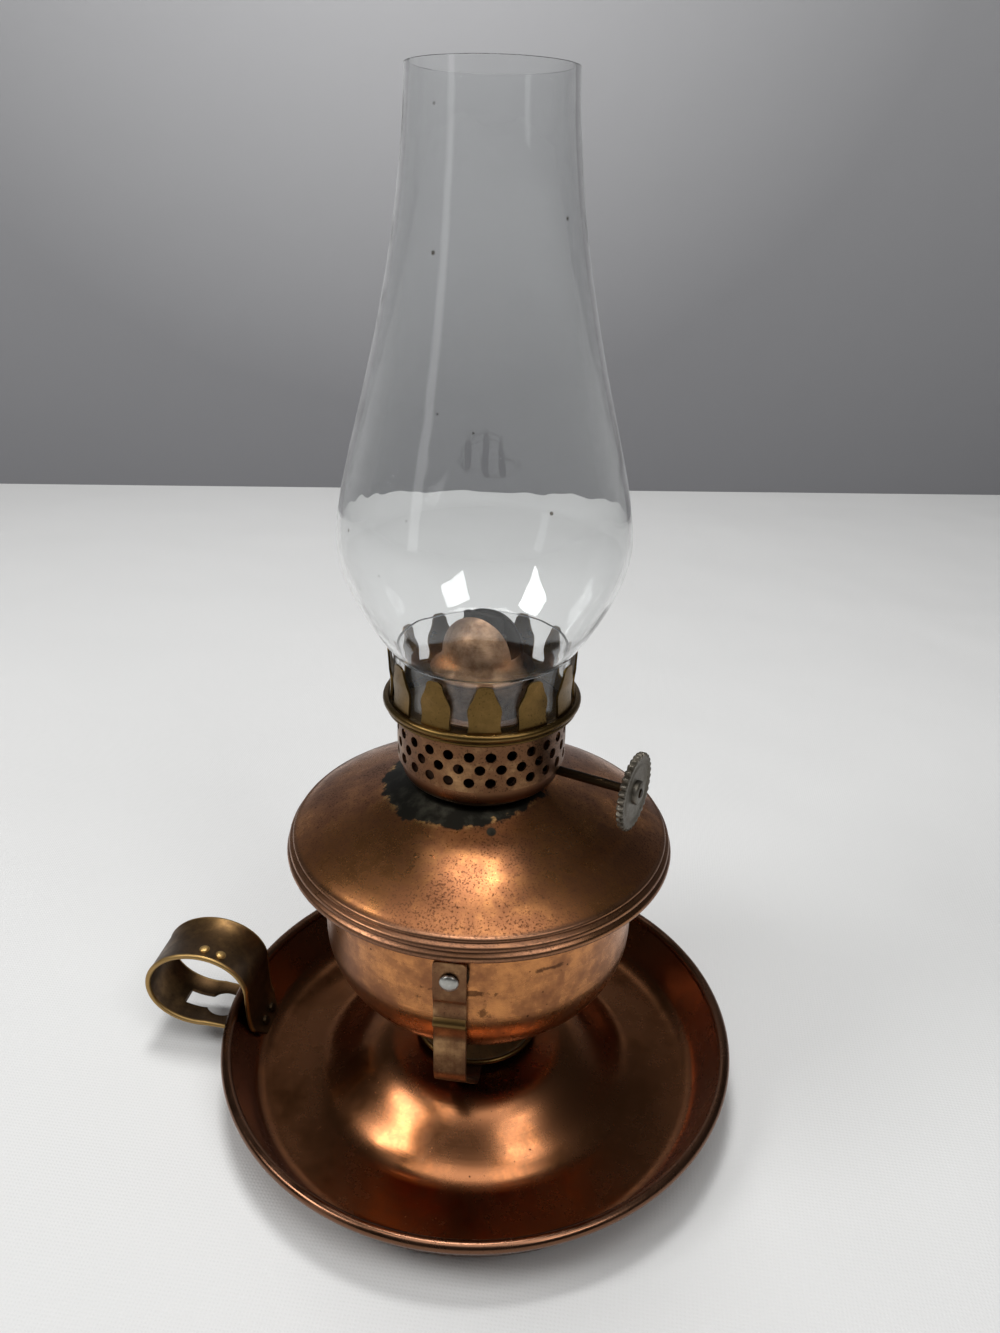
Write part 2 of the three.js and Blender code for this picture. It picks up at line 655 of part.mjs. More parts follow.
// Perforated band: three staggered rows of round air holes
function makeBand() {
  const shell = toSolid(turned([
    [bandRadius - burnerSheet, bandBottom], [bandRadius, bandBottom],
    [bandRadius, bandTop], [bandRadius - burnerSheet, bandTop],
  ], bandHoleCount));
  const pitch = (2 * Math.PI) / bandHoleCount;
  const holes = bandRowHeights.flatMap((height, row) => (
    Array.from({ length: bandHoleCount }, (_, i) => toSolid(
      pinAlongX(bandHoleRadius, 2 * cutOverrun, airHoleSides)
        .rotateX(Math.PI / airHoleSides)
        .translate(bandRadius, 0, bandBottom + height)
        .rotateZ(pitch * (i + ((row + 1) % 2) / 2)),
    ))));
  return toGeometry(wasm.Manifold.difference([shell, ...holes]));
}
add("burner_band", makeBand(), agedBrass, burner)
  .rotation.z = Math.PI / bandHoleCount;

// Gallery: a floor for the chimney, a rolled bead and twelve springy prongs
function prongOutline() {
  const [half, tip] = [prongWidth / 2, prongTipWidth / 2];
  const [straightStart, straightEnd] = prongSwellShares.map((share) => share * prongHeight);
  const [drawnIn, tipStart] = prongTipShares.map((share) => share * prongHeight);
  const right = bezier([
    [half, straightStart], [half, straightEnd], [tip * prongTipEaseShare, drawnIn], [tip, tipStart],
  ], 3);
  const waist = [half * prongWaistShares[0], prongHeight * prongWaistShares[1]];
  const side = [[half, -cutOverrun], [half, 0], waist, ...right, [tip * prongEndShare, prongHeight]];
  return [...side, ...side.map(([x, z]) => [-x, z]).reverse()];
}

function makeGallery() {
  const wall = [galleryRadius - galleryBeadRadius, galleryBeadHeight];
  const prongFoot = galleryBeadHeight + galleryBeadRadius * prongSeatShare;
  const sleeveRadius = bandRadius - burnerSheet - seatGap;
  const floor = turned([
    [galleryFloorHole, galleryFloor], [sleeveRadius - burnerSheet, galleryFloor],
    [sleeveRadius - burnerSheet, galleryFloor - gallerySleeve],
    [sleeveRadius, galleryFloor - gallerySleeve], [sleeveRadius, galleryFloor],
    [bandRadius, galleryFloor], wall, [prongInnerRadius + burnerSheet, prongFoot],
    [prongInnerRadius, prongFoot], [prongInnerRadius, galleryBeadHeight],
    [chimneyFootRadius + seatGap, galleryFloorTop], [galleryFloorHole, galleryFloorTop],
  ], burnerSides);
  const bead = arc(...wall, galleryBeadRadius, 0, 2 * Math.PI, beadSides);
  const spring = [
    [prongInnerRadius, prongFoot - burnerSheet], [prongInnerRadius, prongFoot + prongHeight * prongBendShare],
    [prongInnerRadius + prongFlare, prongFoot + prongHeight + seatGap],
  ];
  const springWall = toSolid(turned(sheet(spring, -burnerSheet), burnerSides));
  const reach = galleryRadius + cutOverrun;
  const prongs = Array.from({ length: prongCount }, (_, i) => toSolid(
    pushedAlongX(prongOutline(), reach)
      .translate(reach / 2 + cutOverrun, 0, prongFoot)
      .rotateZ((2 * Math.PI * i) / prongCount),
  ));
  const crown = springWall.intersect(wasm.Manifold.union(prongs));
  return toGeometry(toSolid(floor).add(toSolid(turned(bead.slice(1), burnerSides))).add(crown));
}
add("burner_gallery", makeGallery(), agedBrass, burner);

// Deck: a pierced plate inside the gallery sleeve that steadies the wick tube
function makeDeck() {
  const radius = bandRadius - 2 * burnerSheet - 2 * seatGap;
  const plate = pushed(arc(0, 0, radius, 0, 2 * Math.PI, smallSides).slice(1), deckThickness, [
    flatTube(seatGap).reverse(),
    ...Array.from({ length: deckHoleCount }, (_, i) => {
      const a = (2 * Math.PI * (i + 0.5)) / deckHoleCount;
      const [x, y] = [deckHoleCircle * Math.cos(a), deckHoleCircle * Math.sin(a)];
      return arc(x, y, deckHoleRadius, 2 * Math.PI, 0, beadSides).slice(1);
    }),
  ]);
  return closed(plate.translate(0, 0, galleryFloor - gallerySleeve + deckThickness / 2));
}
add("burner_deck", makeDeck(), darkBrass, burner);

// Wick tube with two windows, through which the feed wheels reach the wick
function makeWickTube() {
  const length = tubeTop - tubeBottom;
  const tube = toSolid(pushed(flatTube(0), length, [flatTube(-tubeWall).reverse()])
    .translate(0, 0, (tubeTop + tubeBottom) / 2));
  const windows = [-1, 1].map((side) => toSolid(
    new THREE.BoxGeometry(feedWheelWidth + 2 * seatGap, tubeDepth, 2 * feedWheelRadius)
      .translate(side * feedWheelOffset, tubeDepth / 2, spindleHeight)));
  return toGeometry(wasm.Manifold.difference([tube, ...windows]));
}
add("wick_tube", makeWickTube(), darkBrass, burner);

const wickHeight = wickTop - wickBottom;
add("wick", closed(pushed(flatTube(-tubeWall - seatGap), wickHeight)), cotton, burner)
  .position.z = wickBottom + wickHeight / 2;

// Winder: spindle, two feed wheels, their box and the milled thumb wheel
const boxHalf = feedWheelOffset + feedWheelWidth / 2 + 3 * seatGap + ratchetBoxWall;

function makeRatchetBox() {
  const near = tubeDepth / 2 + seatGap;
  const far = spindleOffset + feedWheelRadius + seatGap + ratchetBoxWall;
  const half = feedWheelRadius + seatGap + ratchetBoxWall;
  const depth = far - near;
  const block = toSolid(new THREE.BoxGeometry(2 * boxHalf, depth, 2 * half)
    .translate(0, (near + far) / 2, spindleHeight));
  const hollow = toSolid(new THREE.BoxGeometry(
    2 * (boxHalf - ratchetBoxWall), depth, 2 * (half - ratchetBoxWall),
  ).translate(0, (near + far) / 2 - ratchetBoxWall, spindleHeight));
  return toGeometry(block.subtract(hollow)
    .subtract(spindleBore(cupRadius))
    .subtract(toSolid(pinAlongX(spindleRadius + seatGap, 2 * boxHalf + cutOverrun)
      .translate(0, spindleOffset, spindleHeight))));
}
add("ratchet_box", makeRatchetBox(), darkBrass, burner);

const spindleGroup = new THREE.Group();
spindleGroup.position.set(0, spindleOffset, spindleHeight);
burner.add(spindleGroup);
const spindleStart = -boxHalf - seatGap;
const spindleEnd = thumbWheelReach + thumbWheelWidth / 2 + thumbHubStand + seatGap;
add("spindle", closed(pinAlongX(spindleRadius, spindleEnd - spindleStart)), agedBrass, spindleGroup)
  .position.x = (spindleEnd + spindleStart) / 2;

// A wheel outline with pointed teeth
function toothed(radius, root, teeth) {
  return Array.from({ length: 2 * teeth }, (_, i) => {
    const r = i % 2 ? root : radius;
    const a = (Math.PI * i) / teeth;
    return [r * Math.cos(a), r * Math.sin(a)];
  });
}
const borePath = arc(0, 0, spindleRadius + seatGap, 2 * Math.PI, 0, pinSides).slice(1);

[["inner", -1], ["outer", 1]].forEach(([name, side]) => {
  const outline = toothed(feedWheelRadius, feedWheelRoot, feedWheelTeeth);
  const wheel = closed(pushed(outline, feedWheelWidth, [borePath]).rotateY(Math.PI / 2));
  add(`feed_wheel_${name}`, wheel, darkBrass, spindleGroup).position.x = side * feedWheelOffset;
});

function makeThumbWheel() {
  const outline = toothed(thumbWheelRadius, thumbWheelRadius - thumbWheelToothDepth, thumbWheelTeeth);
  const disc = toSolid(pushed(outline, thumbWheelWidth));
  const hub = toSolid(pin(thumbHubRadius, thumbWheelWidth + 2 * thumbHubStand, smallSides));
  const bore = toSolid(pin(spindleRadius + seatGap, thumbWheelWidth + 2 * (thumbHubStand + cutOverrun)));
  return closed(toGeometry(disc.add(hub).subtract(bore)).rotateY(Math.PI / 2));
}
add("thumb_wheel", makeThumbWheel(), wheelMetal, spindleGroup).position.x = thumbWheelReach;

// Flame spreader: a slotted dome on a beaded skirt, over the end of the wick tube
function makeSpreader() {
  const skirt = [
    [spreaderFlangeRadius, spreaderFoot], [spreaderFlangeRadius, spreaderFoot + spreaderSheet],
    [spreaderBaseRadius, spreaderFoot + 2 * spreaderSheet],
    [spreaderBaseRadius - spreaderBeadRadius, spreaderBeadHeight - spreaderBeadRadius],
    [spreaderBaseRadius, spreaderBeadHeight],
    [spreaderBaseRadius - spreaderBeadRadius, spreaderBeadHeight + spreaderBeadRadius],
    [spreaderDomeRadius, spreaderShoulder],
  ];
  const dome = arc(0, spreaderDomeFoot, spreaderDomeRadius, 0, Math.PI / 2, 6);
  dome[dome.length - 1][0] = 0;
  const innerDome = arc(0, spreaderDomeFoot, spreaderDomeRadius - spreaderSheet, Math.PI / 2, 0, 6);
  innerDome[0][0] = 0;
  const inside = spreaderBaseRadius - spreaderBeadRadius - spreaderSheet;
  const shell = toSolid(turned([
    ...skirt, ...dome, ...innerDome,
    [spreaderDomeRadius - spreaderSheet, spreaderShoulder],
    [inside, spreaderBeadHeight], [inside, spreaderFoot],
  ], burnerSides));
  const slotHeight = spreaderTop - spreaderShoulder;
  const slot = new THREE.BoxGeometry(4 * spreaderDomeRadius, spreaderSlot, slotHeight)
    .translate(0, 0, spreaderShoulder + slotHeight / 2 + spreaderSheet);
  return toGeometry(shell.subtract(toSolid(slot)));
}
add("flame_spreader", makeSpreader(), agedBrass, burner);

// Chimney: a straight foot, a round bulge and a long taper to a straight top
function makeChimney() {
  const rise = chimneyTop - chimneyBulgeHeight;
  const swell = chimneyBulgeHeight - chimneyNeckHeight;
  const spread = chimneyBulgeRadius - chimneyFootRadius;
  const fall = chimneyBulgeRadius - chimneyTopRadius;
  const neck = bezier([
    [chimneyFootRadius, chimneyNeckHeight],
    [chimneyFootRadius + spread * neckLeaveShares[0], chimneyNeckHeight + swell * neckLeaveShares[1]],
    [chimneyBulgeRadius, chimneyBulgeHeight - swell * bulgeCurveShare],
    [chimneyBulgeRadius, chimneyBulgeHeight],
  ], 6);
  const taper = bezier([
    [chimneyBulgeRadius, chimneyBulgeHeight],
    [chimneyBulgeRadius, chimneyBulgeHeight + rise * taperCurveShares[0]],
    [chimneyTopRadius + fall * taperWidthShare, chimneyTop - rise * taperCurveShares[1]],
    [chimneyTopRadius, chimneyTop],
  ], 6);
  const path = [[chimneyFootRadius, chimneyFoot], ...neck, ...taper.slice(1)];
  return turned(sheet(path, chimneyWall), chimneySides);
}
add("chimney", makeChimney(), glass, burner);

// The origin is under the middle of the whole lamp's footprint
lamp.position.x = (ringReach - saucerRadius) / 2;

export default part;
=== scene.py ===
"""Miniature oil lamp: a copper font that tilts in a brass yoke, on a saucer with a finger ring.

Each piece is built at its place in the packed frame, in metres, and rides on its body.
"""

import json
import math

import bmesh
import bpy
from bpy.props import (
    FloatProperty, FloatVectorProperty, IntProperty, PointerProperty,
)
from bpy.types import Operator, Panel, PropertyGroup
from mathutils import Matrix, Vector


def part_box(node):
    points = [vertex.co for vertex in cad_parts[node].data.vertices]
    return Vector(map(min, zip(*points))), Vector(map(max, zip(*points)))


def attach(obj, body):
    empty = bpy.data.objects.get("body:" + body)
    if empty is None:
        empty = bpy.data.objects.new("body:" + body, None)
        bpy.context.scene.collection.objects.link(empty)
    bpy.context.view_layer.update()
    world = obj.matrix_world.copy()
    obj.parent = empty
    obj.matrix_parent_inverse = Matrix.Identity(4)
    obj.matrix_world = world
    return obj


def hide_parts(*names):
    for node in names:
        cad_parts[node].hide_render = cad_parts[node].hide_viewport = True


bl_info = {
    "name": "Miniature Oil Lamp",
    "version": (1, 0, 0),
    "blender": (4, 5, 0),
    "location": "3D View > Sidebar > Oil Lamp",
    "description": "Builds a copper oil lamp with its burner, chimney and stage",
    "category": "Add Mesh",
}

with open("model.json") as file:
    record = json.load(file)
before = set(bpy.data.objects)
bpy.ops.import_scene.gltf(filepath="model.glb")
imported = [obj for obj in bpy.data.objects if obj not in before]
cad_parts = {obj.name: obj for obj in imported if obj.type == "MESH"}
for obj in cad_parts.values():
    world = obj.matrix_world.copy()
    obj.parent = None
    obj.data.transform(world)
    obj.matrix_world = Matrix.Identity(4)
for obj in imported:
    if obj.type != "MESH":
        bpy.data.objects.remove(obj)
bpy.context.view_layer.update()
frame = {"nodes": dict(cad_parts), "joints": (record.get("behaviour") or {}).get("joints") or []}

MM = 0.001
FULL_TURN = 2 * math.pi
TINY = 1e-7


# Places read from the frame

def middle(node):
    """The middle of a CAD node's box."""
    low, high = (Vector(corner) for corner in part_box(node))
    return (low + high) / 2


def bottom(node):
    return Vector(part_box(node)[0]).z


def top(node):
    return Vector(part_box(node)[1]).z


def joint(name):
    return next(j for j in frame["joints"] if j["name"] == name)


def half_depth(node):
    """Half the size of a CAD node's box along Y, which is a round node's radius."""
    low, high = (Vector(corner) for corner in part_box(node))
    return (high.y - low.y) / 2


def turned_to(place, way):
    """A place whose Z axis points a way."""
    return Matrix.Translation(place) @ way.to_track_quat("Z", "Y").to_matrix().to_4x4()


AXIS_X = middle("font_bowl").x
LAMP = Matrix.Translation((AXIS_X, 0, 0))
PIVOT_Z = joint("font_tilt")["pos_m"][2]
SPINDLE_AXIS = Vector(joint("winder_turn")["axis"])
SPINDLE_POINT = Vector(joint("winder_turn")["pos_m"])
BURNER_TURN = math.atan2(SPINDLE_AXIS.y, SPINDLE_AXIS.x)
BURNER = LAMP @ Matrix.Rotation(BURNER_TURN, 4, "Z")
WINDER = (Matrix.Translation(SPINDLE_POINT) @ Matrix.Rotation(BURNER_TURN, 4, "Z")
          @ Matrix.Rotation(math.pi / 2, 4, "Y"))


# Settings

def length(name, description, millimetres):
    return FloatProperty(
        name=name, description=description, default=millimetres * MM, unit="LENGTH", precision=5)


def angle(name, description, degrees):
    return FloatProperty(
        name=name, description=description, default=math.radians(degrees), unit="ROTATION")


def count(name, description, number):
    return IntProperty(name=name, description=description, default=number, min=3)


def from_hex(code):
    """An sRGB hex colour as linear red, green and blue."""
    channels = [int(code[i:i + 2], 16) / 255 for i in (1, 3, 5)]
    return tuple(c / 12.92 if c <= 0.04045 else ((c + 0.055) / 1.055) ** 2.4 for c in channels)


def colour(name, description, code):
    return FloatVectorProperty(
        name=name, description=description, default=from_hex(code), min=0, max=1, subtype="COLOR")


class StandSettings(PropertyGroup):
    """Saucer, finger ring, yoke and pivots."""

    sheet: length("Saucer sheet", "Thickness of the saucer's copper", 0.7)
    bead: length("Rim bead", "Radius of the saucer's rolled rim", 1.3)
    boss_radius: length("Boss", "Radius of the flat top of the raised centre", 19.5)
    boss_height: length("Boss height", "Height of the raised centre", 10.7)
    floor_start: length("Floor", "Radius where the saucer's flat ring starts", 39)
    wall_foot: length("Wall foot", "Radius where the saucer's wall starts", 52.5)
    wall_fillet: length("Wall fillet", "Radius of the bend between floor and wall", 6)
    ring_sheet: length("Ring sheet", "Thickness of the finger ring's strip", 0.9)
    ring_width: length("Ring width", "Width of the finger ring's strip", 15)
    ring_end: length("Ring end", "Width of both riveted ends of the strip", 8.8)
    ring_edge: length("Ring edge", "Radius of the strip's rolled edges", 0.65)
    ring_radius: length("Ring radius", "Half the length of the finger ring's oval", 12.4)
    ring_rise: length("Ring rise", "Half the height of the finger ring's oval", 10.2)
    ring_height: length("Ring height", "Height of the middle of the oval", 17.6)
    ring_tilt: angle("Ring tilt", "How far the oval hangs down at its far end", -5)
    keyhole_reach: length("Keyhole", "Distance from the lamp's axis to the round end", 64.1)
    keyhole_radius: length("Keyhole radius", "Radius of the round end of the keyhole", 4.2)
    slot_reach: length("Slot end", "Distance from the lamp's axis to the slot's end", 73.4)
    slot_width: length("Slot width", "Width of the keyhole's slot", 4.6)
    yoke_width: length("Yoke width", "Width of the yoke's strip", 6.6)
    yoke_sheet: length("Yoke sheet", "Thickness of the yoke's strip", 0.9)
    yoke_foot: length("Yoke foot", "Half the length of the yoke's flat foot", 18.3)
    arm_reach: length("Arm reach", "Distance from the lamp's axis to an arm's middle plane", 36.05)
    arm_foot: length("Arm foot", "Height where an arm becomes upright", 31)
    arm_bend: length("Arm bend", "Radius of the yoke's bends", 6)
    crimp_height: length("Crimp height", "Height of the ridge across each arm", 45.8)
    crimp_rise: length("Crimp rise", "How far the ridge stands out", 0.8)
    crease_height: length("Crease height", "Height of the small step in each arm", 51.6)
    crease_step: length("Crease step", "How far an arm steps out", 0.45)


class FontSettings(PropertyGroup):
    """Bowl, shoulder and collar."""

    sheet: length("Copper sheet", "Thickness of the bowl and the shoulder", 0.6)
    bowl_radius: length("Bowl radius", "Radius of the bowl's upright wall", 34.1)
    bowl_foot: length("Bowl foot", "Radius of the bowl's flat bottom", 14.9)
    round_top: length("Round top", "Height where the bowl's wall becomes upright", 45.6)
    rim_height: length("Rim height", "Height of the beaded seam", 4.9)
    seam_wall: length("Seam wall", "How far the seam wraps round the bowl's flange", 1.4)
    seam_lip: length("Seam lip", "How far the seam's lip lies under the flange", 3)
    dome_start: length("Dome start", "Radius where the bell starts, inside the rim", 39.25)
    dome_end: length("Dome end", "Radius of the bell's upper edge", 14.8)
    dome_hole: length("Dome hole", "Radius of the hole that holds the collar", 12.3)
    collar_flange: length("Collar flange", "Radius of the collar's flange", 14.2)


class BurnerSettings(PropertyGroup):
    """Cup, pierced band, gallery, winder, spreader and wick."""

    sheet: length("Brass sheet", "Thickness of the burner's brass", 0.5)
    cup_foot: length("Cup foot", "Radius of the cup's foot", 14)
    neck_radius: length("Neck", "Radius of the neck that screws into the collar", 10.3)
    cup_radius: length("Cup radius", "Radius of the cup's wall", 16.8)
    cup_height: length("Cup height", "Height of the smooth cup", 4)
    band_radius: length("Band radius", "Radius of the pierced band", 17.5)
    hole_radius: length("Air hole", "Radius of each air hole", 1.1)
    hole_count: count("Air holes", "Air holes in each row", 26)
    gallery_radius: length("Gallery radius", "Radius of the middle of the gallery's bead", 20.3)
    gallery_bead: length("Gallery bead", "Radius of the gallery's rolled bead", 0.85)
    prong_count: count("Prongs", "Prongs that hold the chimney", 12)
    prong_height: length("Prong height", "Height of each prong", 9.9)
    prong_radius: length("Prong radius", "Inner radius of the ring of prongs", 18.45)
    prong_flare: length("Prong flare", "How far each tip leans out", 0.2)
    spreader_radius: length("Spreader", "Radius of the flame spreader's dome", 8.2)
    spreader_slot: length("Slot", "Width of the flame spreader's slot", 5.2)
    wheel_radius: length("Thumb wheel", "Radius of the thumb wheel", 8.2)
    wheel_width: length("Wheel width", "Thickness of the thumb wheel", 1.4)
    wheel_teeth: count("Teeth", "Teeth round the thumb wheel", 32)


class ChimneySettings(PropertyGroup):
    """Glass chimney."""

    wall: length("Glass", "Thickness of the glass", 0.9)
    foot_radius: length("Foot", "Radius of the chimney's foot", 18)
    bulge_radius: length("Bulge", "Radius of the chimney's bulge", 28.2)
    top_radius: length("Top", "Radius of the chimney's upper end", 14.2)
    neck_height: length("Neck", "Height where the foot starts to swell", 110.9)
    bulge_height: length("Bulge height", "Height of the bulge's widest ring", 133.4)


class FinishSettings(PropertyGroup):
    """Colours of the metals, the glass and the wick."""

    copper: colour("Copper", "Rubbed copper", "#D08E56")
    copper_brown: colour("Brown copper", "Copper browned all over", "#A66A41")
    copper_grey: colour("Grey copper", "Copper greyed by handling", "#7C5D4A")
    rim_grey: colour("Grey rim", "The saucer's rim, brown and greyed", "#6E5140")
    copper_dull: colour("Dull copper", "Copper with a thin brown film", "#8C5C3D")
    # Also used as painted shade up the saucer's wall.
    copper_dark: colour("Dark copper", "Old tarnish in the low places", "#3E2417")
    copper_fresh: colour("Fresh copper", "Copper laid bare at the stain's edge", "#F0C27C")
    stain: colour("Stain", "Burnt oil round the burner", "#292722")
    stain_grey: colour("Stain crust", "Dry crust on the burnt oil", "#444239")
    # Only the painted highlights on the finger ring's rolled edges and pips use this colour.
    brass: colour("Brass", "Rubbed brass", "#C3A066")
    brass_worn: colour("Worn brass", "Brushed brass, dulled by heat", "#CBA888")
    brass_pink: colour("Pink brass", "Rubbed red brass", "#BE976A")
    brass_brown: colour("Brown brass", "Red brass under a brown film", "#725038")
    brass_red: colour("Red brass", "Red brass browned by heat", "#8F6244")
    brass_olive: colour("Olive brass", "Brass turned olive by heat", "#86683D")
    brass_dull: colour("Dull brass", "Brass with a brown film", "#66502C")
    brass_dark: colour("Dark brass", "Old tarnish on brass", "#2E2317")
    strip: colour("Strip", "Brass browned by handling", "#8A6A42")
    strip_dark: colour("Dark strip", "The darkest of the handled strip", "#513D28")
    tin: colour("Tin", "Tinned steel of the rivets", "#D2D2CF")
    nickel: colour("Nickel", "Dull plate of the thumb wheel", "#A3A19A")
    nickel_dull: colour("Worn nickel", "Plate worn to a brown grey", "#6A645A")
    glass: colour("Glass", "Tint of the clear glass", "#FCFDFD")
    glass_speck: colour("Glass specks", "Specks of dirt in the glass", "#5A5148")
    cotton: colour("Cotton", "Wick above the oil", "#C9BCA0")
    # Also the soot and painted shade on the flame spreader's far leaf.
    char: colour("Char", "Burnt tip of the wick", "#17130F")


class StageSettings(PropertyGroup):
    """Floor, backdrop, lamps and camera."""

    cloth: colour("Cloth", "Pale cloth that the lamp stands on", "#DBDBDA")
    wall: colour("Wall", "Grey wall behind", "#9C9C9E")
    # Painted shade at the wall's foot.
    wall_shade_low: colour("Wall foot", "The wall close to the cloth", "#808083")
    # A painted pool of light on the wall above the lamp.
    wall_lit: colour("Light wall", "The wall above the lamp", "#CFCFD1")
    sky: colour("Sky", "Dim light from all round", "#C9CACC")
    wall_distance: length("Wall distance", "From the lamp's axis to the wall", 540)
    wall_turn: angle("Wall turn", "How far the wall is turned from square to the camera", 1.2)
    distance: length("Distance", "Camera's distance from the lamp's axis, level", 186.2)
    side_step: length("Side step", "How far the camera stands to the left", 2)
    height: length("Height", "Camera's height", 192.1)
    azimuth: angle("Azimuth", "Camera's bearing from the front of the lamp", 9)
    yaw: angle("Yaw", "How far the camera looks past the axis", 1.7)
    pitch: angle("Pitch", "How far the camera looks down", 24.75)
    roll: angle("Roll", "How far the camera is turned about its view", 1.4)
    lens: FloatProperty(
        name="Lens", description="Focal length", default=27.28, subtype="DISTANCE_CAMERA")


# Outlines, as (radius, height) or plane points

def polar(radius, turn, height):
    """A point round the Z axis, with the turn in radians."""
    return Vector((radius * math.cos(turn), radius * math.sin(turn), height))


def arc(centre, radius, start, end, steps):
    """Points on a circle from one angle to another, in degrees."""
    turns = (math.radians(start + (end - start) * i / steps) for i in range(steps + 1))
    return [(centre[0] + radius * math.cos(a), centre[1] + radius * math.sin(a)) for a in turns]


def oblong(half, radius, steps):
    """A closed outline with round ends, from half its length and the ends' radius."""
    reach = half - radius
    return [*arc((reach, 0), radius, -90, 90, steps), *arc((-reach, 0), radius, 90, 270, steps)]


def bezier(points, steps):
    """Points on a cubic curve."""
    made = []
    for i in range(steps + 1):
        t = i / steps
        weights = ((1 - t) ** 3, 3 * t * (1 - t) ** 2, 3 * t * t * (1 - t), t ** 3)
        made.append(tuple(sum(w * p[k] for w, p in zip(weights, points)) for k in (0, 1)))
    return made


def through(points, steps):
    """A smooth path through points, with each span in a number of steps."""
    made = []
    for i in range(len(points) - 1):
        a, b, c, d = (Vector(points[min(max(k, 0), len(points) - 1)]) for k in range(i - 1, i + 3))
        for j in range(steps):
            t = j / steps
            made.append(tuple(0.5 * (
                2 * b + (c - a) * t + (2 * a - 5 * b + 4 * c - d) * t ** 2
                + (3 * b - a - 3 * c + d) * t ** 3)))
    return made + [tuple(points[-1])]


def rounded(corners, radius, steps=8):
    """A path with its inner corners rounded."""
    path = [corners[0]]
    for before, corner, after in zip(corners, corners[1:], corners[2:]):
        corner = Vector(corner)
        back, ahead = Vector(before) - corner, Vector(after) - corner
        reach = min(radius / math.tan(back.angle(ahead) / 2), back.length / 2, ahead.length / 2)
        start, end = corner + back.normalized() * reach, corner + ahead.normalized() * reach
        for i in range(steps + 1):
            t = i / steps
            path.append(tuple(start * (1 - t) ** 2 + corner * 2 * t * (1 - t) + end * t ** 2))
    return path + [corners[-1]]


def normals(path):
    """The left normal of a plane path at each point, longer at bends."""
    made = []
    for i, point in enumerate(path):
        here = Vector(point)
        before = (here - Vector(path[i - 1])).normalized() if i else None
        after = (Vector(path[i + 1]) - here).normalized() if i + 1 < len(path) else None
        along = ((before or after) + (after or before)).normalized()
        spread = max(along.dot(before or after), 0.5)
        made.append(Vector((-along.y, along.x)) / spread)
    return made


def beside(path, distance):
    """A path moved to its left."""
    return [tuple(Vector(p) + n * distance) for p, n in zip(path, normals(path))]


def wall(path, thickness, steps=4):
    """The closed outline of a sheet with one face on the path and round ends."""
    other = beside(path, thickness)
    outline = list(path)
    for start, end, back in ((path[-1], other[-1], other[::-1]), (other[0], path[0], [])):
        centre = (Vector(start) + Vector(end)) / 2
        spoke = Vector(start) - centre
        first = math.degrees(math.atan2(spoke.y, spoke.x))
        outline += arc(centre, spoke.length, first, first + 180, steps)[1:-1] + back
    return outline


# Meshes

def add_object(name, data):
    """A new object in the scene."""
    made = bpy.data.objects.new(name, data)
    bpy.context.scene.collection.objects.link(made)
    return made


def to_object(name, mesh, sharp=40):
    """A bmesh as an object, smooth but for edges sharper than an angle in degrees."""
    bmesh.ops.remove_doubles(mesh, verts=mesh.verts, dist=TINY)
    bmesh.ops.recalc_face_normals(mesh, faces=mesh.faces)
    for face in mesh.faces:
        face.smooth = True
    for edge in mesh.edges:
        edge.smooth = len(edge.link_faces) == 2 and edge.calc_face_angle(0) < math.radians(sharp)
    data = bpy.data.meshes.new(name)
    mesh.to_mesh(data)
    mesh.free()
    return add_object(name, data)


def join_rings(mesh, rings):
    """Adds the faces between rings of vertices, each with the next."""
    for ring, after in zip(rings, rings[1:]):
        for i in range(len(ring)):
            j = (i + 1) % len(ring)
            corners = list(dict.fromkeys((ring[i], ring[j], after[j], after[i])))
            if len(corners) > 2:
                mesh.faces.new(corners)


def revolve(name, outline, sides=128, place=LAMP, reshape=None, sharp=40):
    """A closed outline turned about the axis of a place."""
    mesh = bmesh.new()
    rings = []
    for radius, height in outline:
        if radius < TINY:
            rings.append([mesh.verts.new(place @ Vector((0, 0, height)))] * sides)
            continue
        ring = []
        for i in range(sides):
            turn = FULL_TURN * i / sides
            r = reshape(radius, turn) if reshape else radius
            ring.append(mesh.verts.new(place @ polar(r, turn, height)))
        rings.append(ring)
    join_rings(mesh, rings + rings[:1])
    return to_object(name, mesh, sharp)


def loft(name, sections, sharp=40):
    """A closed skin over rings of points, one after another."""
    mesh = bmesh.new()
    rings = [[mesh.verts.new(point) for point in section] for section in sections]
    join_rings(mesh, rings)
    for end in (rings[0], rings[-1]):
        mesh.faces.new(end)
    return to_object(name, mesh, sharp)


def carry(name, path, profile, place, sharp=40):
    """A profile of (across, out) points carried along a plane path."""
    return loft(name, [
        [place(Vector(point) + normal * out, across) for across, out in profile(i)]
        for i, (point, normal) in enumerate(zip(path, normals(path)))], sharp)


def slab(name, outline, low, high, place=LAMP):
    """A closed (x, y) outline between two heights of a place."""
    return loft(name, [[place @ Vector((x, y, z)) for x, y in outline] for z in (low, high)])


def cut(piece, cutter):
    """Cuts one closed object out of another."""
    change = piece.modifiers.new("cut", "BOOLEAN")
    change.operation, change.object, change.solver = "DIFFERENCE", cutter, "EXACT"
    bpy.context.view_layer.update()
    graph = bpy.context.evaluated_depsgraph_get()
    mesh = bmesh.new()
    mesh.from_mesh(piece.evaluated_get(graph).to_mesh())
    name, old = piece.name, piece.data
    bpy.data.objects.remove(piece)
    bpy.data.meshes.remove(old)
    bpy.data.objects.remove(cutter)
    return to_object(name, mesh)


